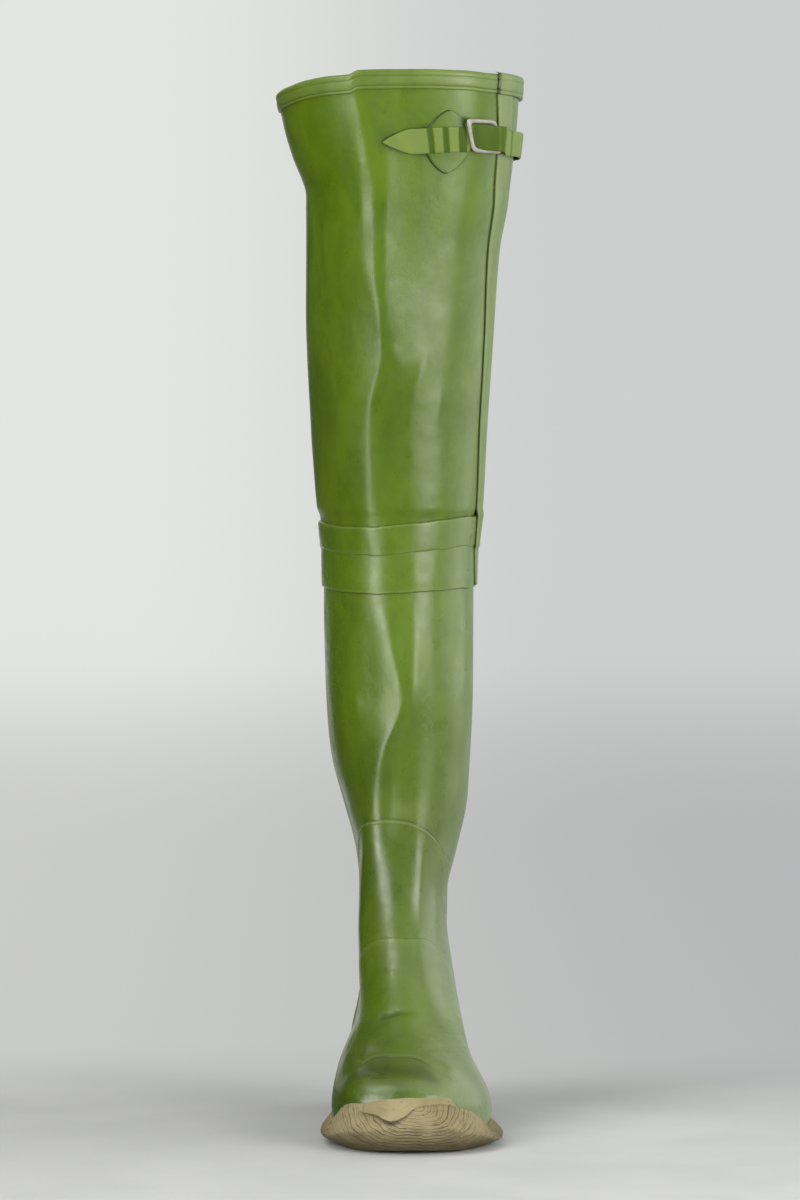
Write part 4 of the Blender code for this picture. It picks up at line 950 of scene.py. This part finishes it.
def makeStrap(shape):
    # a pointed band with cross grooves, lifted off the wall by the buckle
    turns = np.unique(np.concatenate((np.linspace(shape["tipTurn"], 2.0, 26), np.linspace(2.0, 30.0, 140),
                                      np.linspace(30.0, shape["endTurn"], 140))))
    lift = np.interp(turns, *np.array(shape["lift"]).T)
    kernel = np.exp(-np.linspace(-2, 2, 9) ** 2)
    lift = np.convolve(np.pad(lift, 4, mode="edge"), kernel / kernel.sum(), mode="valid")
    level = strapLevel(turns)
    middle = skin(turns, level)
    pace = paced(middle, 0)
    half = shape["half"] * np.minimum(1.0, ((pace + 0.05) / shape["tip"]) ** shape["tipPower"])
    half += 0.12 * waves(pace, 0.0, ((0.2, 0, 0.0), (0.43, 0, 2.0))) * smooth(pace / 10.0)
    roll = np.linspace(0.0, 2 * np.pi, 37)
    across = np.sign(np.cos(roll)) * np.abs(np.cos(roll)) ** 0.22
    up = np.sign(np.sin(roll)) * np.abs(np.sin(roll)) ** 0.6
    leant = turns[:, None] + shape["slant"] * across[None, :]
    cut = np.zeros(leant.shape)
    for groove, reach in zip(shape["grooves"], shape["grooveHalf"]):
        cut = np.maximum(cut, smooth((reach - np.abs(leant - groove)) / 0.3 + 0.5))
    lap = bell(leant - shape["lapTurn"], 0.7)
    thick = (shape["thick"] * (0.75 + 0.25 * smooth(pace / 6.0)))[:, None]
    under = lift[:, None]
    top = under + thick - shape["grooveDepth"] * cut - shape["lapDepth"] * lap
    offset = np.where(up > 0, (top + under) / 2.0 + up * (top - under) / 2.0, under + thick * (1 + up) / 2.0)
    turn = np.repeat(turns[:, None], len(roll), axis=1)
    points = skin(turn, np.repeat(level[:, None], len(roll), axis=1), offset)
    # flat across: both edges take the lift of the middle line
    lean = skin(turns, level + 9.0) - skin(turns, level - 9.0)
    lean /= np.linalg.norm(lean, axis=-1, keepdims=True)
    points = points + lean[:, None, :] * (across[None, :] * half[:, None])[..., None]
    # painted shade inside the buckle and on the underside, with a painted gleam down the bulge inside the buckle;
    # darker cross grooves and lap
    inside = (smooth((turns - 27.0) / 2.0) * smooth((50.0 - turns) / 2.0))[:, None]
    insideGleam = bell(leant - 44.5, 1.2)
    groove = np.clip(0.85 * cut + 0.8 * lap + (0.7 - 0.55 * insideGleam) * inside, 0.0, 0.95)
    groove = np.maximum(groove, 0.95 * (up[None, :] < 0.05))
    wearAndGleam = 0.42 * (1.0 - np.maximum(cut, lap)) * (up[None, :] > 0.3) * (1.0 - inside)
    return gridPiece("strap_band", points[:, ::-1], "strapRubber", ("strap",),
                     {"groove": groove[:, ::-1], "wearAndGleam": wearAndGleam[:, ::-1]}, closeEnds=True)


patchShape = {"turn": 16.0, "half": 21.8, "halfWidth": 19.2, "level": 702.4, "round": 1.5, "thick": 1.0, "cells": 44}


def makePatch(shape):
    stations = shape["cells"] + 1
    u, v = np.meshgrid(np.linspace(-1, 1, stations), np.sin(np.linspace(-0.5, 0.5, stations) * np.pi), indexing="ij")
    across = (1.0 - np.abs(v) ** shape["round"]) ** (1.0 / shape["round"])
    around = shape["halfWidth"] * u * across
    level = shape["level"] + shape["half"] * v
    turn = np.empty_like(level)
    for j in range(level.shape[1]):
        turn[:, j] = walkTurns(np.array((shape["turn"],)), level[:1, j], around[:, j])[0]
    away = np.minimum((1.0 - np.abs(u)) * shape["halfWidth"] * across * 0.72, (1.0 - np.abs(v)) * shape["half"])
    points = skin(turn, level, -0.3 + (shape["thick"] + 0.6) * roundedStep(away / 0.9))
    # painted shade along the outline, mostly on the left side, and the buckle's painted shadow
    groove = 0.98 * bell(away, 1.3) * (1.0 - 0.85 * smooth((u + 0.1) / 0.4))
    groove = np.maximum(groove, buckleShade(points))
    return gridPiece("strap_patch_layer", points, "thighRubber", ("strap_patch",), {"groove": groove})


buckleShape = {"left": (26.4, 5.7), "right": (45.8, 3.9), "halfHeight": 10.4, "wire": 3.2, "deep": 2.2, "square": 7.0,
               "lean": -0.42, "up": 3.4, "steps": 120, "sides": 20}


def makeBuckle(shape):
    level = strapShape["level"] + shape["up"]
    ends = [skin(np.array(turn), np.array(level), lift) for turn, lift in (shape["left"], shape["right"])]
    middle = (ends[0] + ends[1]) / 2.0
    along = ends[1] - ends[0]
    halfLength = np.linalg.norm(along) / 2.0
    along /= np.linalg.norm(along)
    between = np.array((shape["left"][0] + shape["right"][0]) / 2.0)
    lean = barePoint(between, np.array(level + 11.3)) - barePoint(between, np.array(level - 11.3))
    out = np.cross(along, lean)
    out /= np.linalg.norm(out)
    up = np.cross(out, along)
    turn = np.linspace(0.0, 2 * np.pi, shape["steps"] + 1)[:, None]
    roll = np.linspace(0.0, 2 * np.pi, shape["sides"] + 1)[None, :]
    power = 2.0 / shape["square"]
    grow = np.cos(roll) * shape["wire"] / 2.0
    u = np.sign(np.cos(turn)) * np.abs(np.cos(turn)) ** power * (halfLength + grow)
    v = np.sign(np.sin(turn)) * np.abs(np.sin(turn)) ** power * (shape["halfHeight"] + grow)
    deep = np.broadcast_to(np.sin(roll) * shape["deep"] / 2.0, u.shape)
    u = u + shape["lean"] * v
    points = middle + along * u[..., None] + up * v[..., None] + out * deep[..., None]
    return gridPiece("buckle_frame", points, "wornNickel", ("buckle",), closeEnds=True)


makePatch(patchShape)
makeStrap(strapShape)
makeBuckle(buckleShape)


# Sole: rough-cut layers, thickest at the toe

soleLook = {"columns": 460, "sideRows": 140, "ledge": 0.6, "period": tanLook["layer"], "fine": 1.15}
# the top sheet hangs over the toe like a lip: x and z of its lower edge, and of a smaller fold above it
noseLip = np.array(((-60, 30), (-40, 30), (-26, 28.2), (-22, 28.7), (-17.5, 25.8), (-13.6, 24.4), (-9.8, 23.9),
                    (-5, 25.8), (0.8, 28.7), (4.7, 33.5), (8.5, 34), (17, 35), (28, 34.5), (34, 32), (60, 30)), float)
noseFold = np.array(((-60, 34), (-24, 33), (-17.5, 32.6), (-10.7, 30.2), (-6.9, 31.1), (-1.1, 33.5), (3, 36),
                     (60, 36)), float)


def soleSide(turn, inset):
    x, y = planPoint(soleShape, turn)
    tuck = 3.0 * smooth((y + 5.0) / 30.0)
    return planOffset(soleShape, turn, -tuck - inset)


def soleUnder(y):
    # underside: toe spring, and the rise over the heel block
    spring = 5.0 * (np.maximum(-150.0 - y, 0.0) / 55.0) ** 2
    return spring + 18.0 * smooth((y + 62.0) / 59.0)


def layerField(x, y, z):
    # the cut layers lie round the middle of the toe as in a cut onion, and level along the sides
    ahead = smooth((-95.0 - y) / 60.0)
    oval = 27.0 * ((np.abs(x - 8.0) / 48.0) ** 2.5 + (np.abs(z - 33.0) / 28.0) ** 2.5) ** 0.4
    wave = waves(x, z, ((0.11, 0.05, 0.7), (0.21, -0.12, 2.4), (0.37, 0.2, 4.0), (0.6, -0.31, 1.1)))
    far = waves(y, z, ((0.05, 0.06, 0.2), (0.11, -0.15, 1.0), (0.23, 0.21, 3.0)))
    return (oval + 1.3 * wave) * ahead + (33.0 - z + 1.2 * far) * (1.0 - ahead)


def sawtooth(field, period):
    # each layer swells downwards and then steps back under itself
    part = field / period
    part = part - np.floor(part)
    return np.where(part < 0.84, part / 0.84, (1.0 - part) / 0.16) - 0.5


def makeOutsole(look):
    s = np.linspace(-1.0, 1.0, look["columns"] + 1)
    turns = 180.0 * (s - 0.6 * np.sin(np.pi * s) / np.pi)
    bare = barePoint(turns, lipLevel(turns))
    across, along = bare[:, 0], bare[:, 1]
    atToe = smooth((-120.0 - along) / 30.0)
    # the rim is lower at both corners of the toe and along the outer side of the ball
    lip = lipLevel(turns) - (6.0 * smooth((across - 28.5) / 4.5) + 3.0 * bell(across + 25.0, 10.0)) * atToe
    lip -= 4.2 * smooth((across - 35.0) / 15.0) * (1.0 - atToe) * (1.0 - smooth((along + 60.0) / 50.0))
    lip += 0.4 * waves(np.radians(turns), 0.0, ((8, 0, 0.5), (17, 0, 1.7), (29, 0, 3.2)))
    lipPoint = skin(turns, lip, walls["cover"] + 1.5)
    share = np.linspace(0.0, 1.0, look["sideRows"])
    turn = np.repeat(turns[:, None], len(share), axis=1)
    inset = 14.0 * np.clip((0.42 - share) / 0.42, 0.0, 1.0) ** 1.45
    way = np.clip((share - 0.42) / 0.58, 0.0, 1.0) ** 1.4
    x, y = soleSide(turn, np.broadcast_to(inset, turn.shape))
    low = soleUnder(y)
    x = x + (lipPoint[:, :1] - x) * way
    y = y + (lipPoint[:, 1:2] - y) * way
    z = low + (lipPoint[:, 2:3] - low) * share
    # layers cut back into the side, finer on the outer half, calm on the lip of the top sheet
    ahead = smooth((-80.0 - y) / 60.0)
    field = layerField(x, y, z)
    above = z - eased(x, *noseLip.T, 3.0)
    folded = z - eased(x, *noseFold.T, 3.0)
    window = smooth((x + 36.0) / 10.0) * smooth((38.0 - x) / 8.0) * ahead
    calm = smooth((above + 0.2) / 1.2) * window
    fineShare = spot(x, z, 20.0, 22.5, 11.0, 4.5) * ahead
    strength = 0.65 + 0.35 * waves(x + y, z, ((0.09, 0.11, 0.0), (0.19, -0.23, 2.0)))
    ledges = 2.0 * look["ledge"] * strength * sawtooth(field, look["period"]) * (1.0 - fineShare)
    fineField = 33.0 - z + 0.3 * waves(x, z, ((0.2, 0.1, 0.0), (0.5, 0.0, 1.0)))
    ledges += look["ledge"] * sawtooth(fineField, look["fine"]) * fineShare
    relief = (1.7 * smooth(above / 0.8) * np.exp(-np.maximum(above, 0.0) / 9.0) * (1.0 - 0.5 * smooth((x - 1.0) / 6.0))
              + 0.7 * smooth(folded / 0.9) * np.exp(-np.maximum(folded, 0.0) / 5.0) * smooth((2.0 - x) / 4.0)
              + 0.5 * smooth((z - 30.8) / 0.6) * smooth((x - 9.0) / 5.0)) * window
    pitted = spot(above, x, -1.7, -12.5, 1.3, 7.5) * ahead
    rough = 0.45 * waves(x + y, z, ((0.17, 0.22, 1.0), (0.31, -0.4, 2.7), (0.55, 0.6, 0.2)))
    fade = smooth(share / 0.08) * smooth((1.0 - share) / 0.06)
    grow = (ledges * (1.0 - 0.85 * calm) * (0.4 + 0.6 * ahead) + relief - 1.5 * pitted + rough) * fade
    ax, ay = planOffset(soleShape, turn, 1.0)
    bx, by = planPoint(soleShape, turn)
    x, y = x + (ax - bx) * grow, y + (ay - by) * grow
    side = np.stack((x, y, z), axis=-1)
    # painted shade in the pit, under the hanging lip and in the cracks
    cracks = (spot(x, z, -33.0, 12.0, 4.0, 4.0) + spot(x, z, -23.0, 8.6, 4.5, 1.5)) * ahead
    lipShade = 0.38 * bell(above + 0.5, 0.7) * window * (1.0 - 0.65 * smooth((x - 1.0) / 5.0))
    split = smooth((-0.25 - sawtooth(field, look["fine"])) / 0.15)
    crevice = np.clip(0.75 * pitted + lipShade + 0.9 * cracks * split, 0.0, 0.9)
    # underside pressed flat on its middle line, and the lip turned in under the upper
    middle = (side[:, 0] + side[::-1, 0]) / 2.0
    rim = skin(turns, lip + 0.25, walls["cover"] - 0.2)
    floor = skin(turns, np.full(len(turns), 13.0), walls["cover"] - 0.4)
    inner = (floor + floor[::-1]) / 2.0
    points = np.concatenate((middle[:, None], side, rim[:, None], floor[:, None], inner[:, None]), axis=1)
    marks = {"groove": crevice, "layer": field, "lined": 1.0 - calm}
    marks = {key: np.pad(value, ((0, 0), (1, 3)), mode="edge") for key, value in marks.items()}
    return gridPiece("sole_layers", points, "tanRubber", ("outsole",), marks)


makeOutsole(soleLook)


# Heel block and the spur over it

# height and inset of each ring of the block, with two grooves round it
heelRings = {"rise": (0.0, 0.0, 0.25, 0.8, 1.6, 4.0, 5.0, 5.4, 5.8, 6.8, 9.0, 10.0, 10.4, 10.8, 11.8, 14.0, 16.6, 17.6),
             "inset": (9.0, 4.2, 3.4, 3.05, 2.9, 2.4, 2.3, 2.9, 2.2, 2.0, 1.6, 1.5, 2.1, 1.4, 1.2, 0.8, 0.3, 0.2),
             "grooves": (8, 13), "columns": 160}


def makeHeel(rings):
    turn = ringGrid(rings["columns"], len(rings["rise"]))
    x, y = planOffset(heelShape, turn, -np.broadcast_to(rings["inset"], turn.shape))
    points = np.stack((x, y, np.broadcast_to(rings["rise"], turn.shape)), axis=-1)
    points = np.concatenate(((points[:, :1] + points[::-1, :1]) / 2.0, points), axis=1)
    # painted shade in the two grooves
    groove = np.zeros(points.shape[:2])
    groove[:, rings["grooves"]] = 0.6
    return gridPiece("heel_block", points, "heelRubber", ("heel",), {"groove": groove}, closeEnds=True)


# the spur's profile is how far it stands out and its height, and it thins towards both ends
spurShape = {"start": 120.0, "sweep": 120.0, "columns": 121, "thin": 0.2, "ends": 0.16, "seat": 0.3,
             "profile": ((0.3, 19.2), (2.4, 19.4), (4.4, 20.4), (5.3, 21.8), (5.6, 24.0), (5.2, 26.4), (4.3, 29.0),
                         (3.5, 31.2), (2.9, 32.5), (2.0, 33.1), (0.9, 33.2), (0.3, 33.0), (0.3, 26.0), (0.3, 19.2))}


def makeSpur(shape):
    profile = np.array(shape["profile"])
    share = np.linspace(0.0, 1.0, shape["columns"])[:, None]
    turn = np.repeat(shape["start"] + shape["sweep"] * share, len(profile), axis=1)
    full = shape["thin"] + (1.0 - shape["thin"]) * smooth(np.minimum(share, 1.0 - share) / shape["ends"])
    grow = shape["seat"] + (profile[:, 0] - shape["seat"]) * full
    x, y = soleSide(turn, -grow)
    points = np.stack((x, y, np.broadcast_to(profile[:, 1], turn.shape)), axis=-1)
    return gridPiece("heel_spur", points, "darkRubber", ("kick_spur",), closeEnds=True)


makeHeel(heelRings)
makeSpur(spurShape)


# Cotton lining inside the shaft, and the insole

liningShape = {"columns": 120, "bottom": 22.0, "foot": 120.0, "leg": 125.0, "top": 745.0, "gap": 0.5, "ribs": 300.0}


def makeLining(shape):
    levels = np.concatenate((np.linspace(shape["bottom"], shape["foot"], 30),
                             np.linspace(shape["leg"], shape["top"], 110)))
    turn = ringGrid(shape["columns"], len(levels))
    level = np.broadcast_to(levels, turn.shape)
    wall = np.where(levels > walls["joint"] - 2.0, walls["thigh"], walls["boot"]) + shape["gap"]
    points = skin(turn, level, -np.broadcast_to(wall, turn.shape))
    uv = np.stack((turn / 360.0 * shape["ribs"] / (2 * np.pi), level * 0.75 / (2 * np.pi)), axis=-1)
    return gridPiece("shaft_lining", points[::-1], "liningCotton", (), uv=uv[::-1])


makeLining(liningShape)
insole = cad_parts["insole"]
insole.data.materials.clear()
insole.data.materials.append(bpy.data.materials["insoleFelt"])
print("boot dressed")


# Studio: a pale floor that runs up into a far wall, black cards, soft boxes, a side panel and a dim room

studio = {"wallY": 7.6, "curve": 1.4, "height": 7.0, "half": 9.0, "near": -9.0, "ringRadius": 8.9, "ringHeight": 9.0}


def makePaper():
    tree, shader, coords = startMaterial("studioPaper")
    # painted light across the glow: paler on the left than on the right
    across = spread(tree, axisOf(tree, coords, "X"), -0.45, 0.45)
    pale = blendColour(tree, across, (0.775, 0.785, 0.750), (0.600, 0.625, 0.620))
    # near the boot the paper takes the lights; further off it glows, brighter towards the far wall, as painted light
    away = tree.nodes.new("ShaderNodeVectorMath")
    away.operation = "DISTANCE"
    tree.links.new(coords, away.inputs[0])
    away.inputs[1].default_value = (0.0, -0.42, 0.0)
    glow = spread(tree, away.outputs["Value"], 0.48, 0.95)
    dust = spread(tree, noise(tree, coords, 8.0, 4.0), 0.3, 0.7)
    tree.links.new(blendColour(tree, dust, (0.42, 0.425, 0.42), (0.46, 0.465, 0.46)), shader.inputs["Base Color"])
    shader.inputs["Roughness"].default_value = 0.7
    shader.inputs["Specular IOR Level"].default_value = 0.0
    light = tree.nodes.new("ShaderNodeEmission")
    depth = spread(tree, axisOf(tree, coords, "Y"), 2.2, 7.0, 0.77, 1.0)
    tree.links.new(depth, light.inputs["Strength"])
    tree.links.new(pale, light.inputs["Color"])
    both = tree.nodes.new("ShaderNodeMixShader")
    tree.links.new(glow, both.inputs["Fac"])
    tree.links.new(shader.outputs["BSDF"], both.inputs[1])
    tree.links.new(light.outputs["Emission"], both.inputs[2])
    tree.links.new(both.outputs["Shader"], tree.nodes["Material Output"].inputs["Surface"])


def setStage(name, bm, finish):
    mesh = bpy.data.meshes.new(name)
    bm.to_mesh(mesh)
    bm.free()
    item = bpy.data.objects.new(name, mesh)
    scene.collection.objects.link(item)
    mesh.materials.append(bpy.data.materials[finish])
    return item


def raiseEdges(bm, edges, height):
    risen = bmesh.ops.extrude_edge_only(bm, edges=edges)["geom"]
    bmesh.ops.translate(bm, verts=[v for v in risen if isinstance(v, bmesh.types.BMVert)], vec=(0, 0, height))


def makeFloor(shape):
    bm = bmesh.new()
    bmesh.ops.create_grid(bm, x_segments=1, y_segments=1, size=1.0)
    bend = shape["wallY"] - shape["curve"]
    for vert in bm.verts:
        vert.co.x *= shape["half"]
        vert.co.y = shape["near"] if vert.co.y < 0 else bend
    back = [e for e in bm.edges if all(v.co.y > 0 for v in e.verts)]
    bmesh.ops.spin(bm, geom=back + list(back[0].verts), cent=(0, bend, shape["curve"]), axis=(1, 0, 0),
                   angle=math.pi / 2, steps=24, use_duplicate=False)
    raiseEdges(bm, [e for e in bm.edges if all(abs(v.co.y - shape["wallY"]) < 1e-4 for v in e.verts)], shape["height"])
    bmesh.ops.recalc_face_normals(bm, faces=bm.faces)
    setStage("studio_floor", bm, "studioPaper")


def makeRing(shape):
    # the paper goes on behind the boot in the other views too: only the camera sees it
    bm = bmesh.new()
    bmesh.ops.create_circle(bm, segments=96, radius=shape["ringRadius"])
    raiseEdges(bm, bm.edges[:], shape["ringHeight"])
    ring = setStage("studio_ring", bm, "studioPaper")
    ring.visible_diffuse = ring.visible_glossy = ring.visible_transmission = ring.visible_shadow = False


def softBox(name, place, aim, wide, tall, power, tint):
    lamp = bpy.data.lights.new(name, "AREA")
    lamp.shape = "RECTANGLE"
    lamp.size = wide
    lamp.size_y = tall
    lamp.energy = power
    lamp.color = tint
    box = bpy.data.objects.new(name, lamp)
    scene.collection.objects.link(box)
    box.location = place
    box.rotation_euler = (Vector(aim) - Vector(place)).to_track_quat("-Z", "Y").to_euler()
    box.visible_camera = False
    return box


def makeFlag(name, low, high):
    # a black card that the camera doesn't see: lying, it shows in reflections only, and standing, it dims soft light too
    flat = low[2] == high[2]
    bm = bmesh.new()
    bmesh.ops.create_grid(bm, x_segments=1, y_segments=1, size=0.5)
    for vert in bm.verts:
        a, b = vert.co.x > 0, vert.co.y > 0
        vert.co = (high[0] if flat and b else low[0], high[1] if a else low[1], high[2] if b else low[2])
    flag = setStage(name, bm, "darkRubber")
    flag.visible_camera = False
    flag.visible_shadow = False
    flag.visible_diffuse = not flat


makePaper()
makeFloor(studio)
makeRing(studio)
makeFlag("card_front", (-0.8, -3.6, 0.002), (0.8, -0.45, 0.002))
makeFlag("card_left", (-0.45, -0.2, 0.002), (-0.075, 0.45, 0.002))
makeFlag("flag_low", (-0.5, -0.3, 0.0), (-0.5, 0.9, 0.3))
makeFlag("flag_high", (-0.5, -0.3, 0.3), (-0.5, 2.2, 0.95))
warmWhite = (1.0, 0.99, 0.97)
softBox("box_right", (1.44, -1.66, 0.67), (0.0, 0.0, 0.42), 1.30, 1.72, 60.0, warmWhite)
softBox("box_left", (-1.46, -1.64, 0.80), (0.0, 0.0, 0.42), 0.80, 2.0, 50.0, warmWhite)
lowLeft = softBox("low_left", (-0.47, -0.58, 0.10), (0.0, 0.0, 0.28), 0.27, 0.20, 1.5, warmWhite)
lowLeft.visible_diffuse = False  # only for the gleam on the shin
softBox("high_left", (-1.15, -0.75, 2.15), (0.0, 0.0, 0.40), 0.90, 0.9, 20.0, warmWhite)
softBox("panel_right", (1.60, 0.35, 0.75), (0.0, 0.0, 0.42), 1.80, 1.9, 20.0, (0.97, 0.99, 1.0))
softBox("overhead", (0.0, -0.3, 2.4), (0.0, 0.0, 0.3), 2.4, 2.4, 16.0, (1.0, 1.0, 1.0))

world = bpy.data.worlds.new("room")
scene.world = world
world.use_nodes = True
room = world.node_tree.nodes["Background"]
room.inputs["Color"].default_value = (0.60, 0.615, 0.60, 1.0)
room.inputs["Strength"].default_value = 0.24

# Camera: at the height of the thigh and far off, as in the photograph, turned so that the boot stands in the middle

lens = {"pixels": 5528.0, "away": 4000.0, "left": -60.8, "high": 543.0, "horizon": 370.0, "bootPixel": 481.0,
        "wide": 800.0, "tall": 1200.0, "sensor": 36.0}
cameraData = bpy.data.cameras.new("camera")
camera = bpy.data.objects.new("camera", cameraData)
scene.collection.objects.link(camera)
cameraData.sensor_width = lens["sensor"]
cameraData.lens = lens["sensor"] * lens["pixels"] / lens["tall"]
cameraData.clip_end = 100.0
camera.location = (np.array((lens["left"], -lens["away"], lens["high"])) + bootShift) * 0.001
pitch = math.atan((lens["tall"] / 2 - lens["horizon"]) / lens["pixels"])
yaw = math.atan((lens["bootPixel"] - lens["wide"] / 2) / lens["pixels"])
camera.rotation_euler = (math.pi / 2 - pitch, 0.0, -yaw)
scene.camera = camera
scene.view_settings.view_transform = "Standard"
scene.view_settings.look = "None"
print("studio ready")
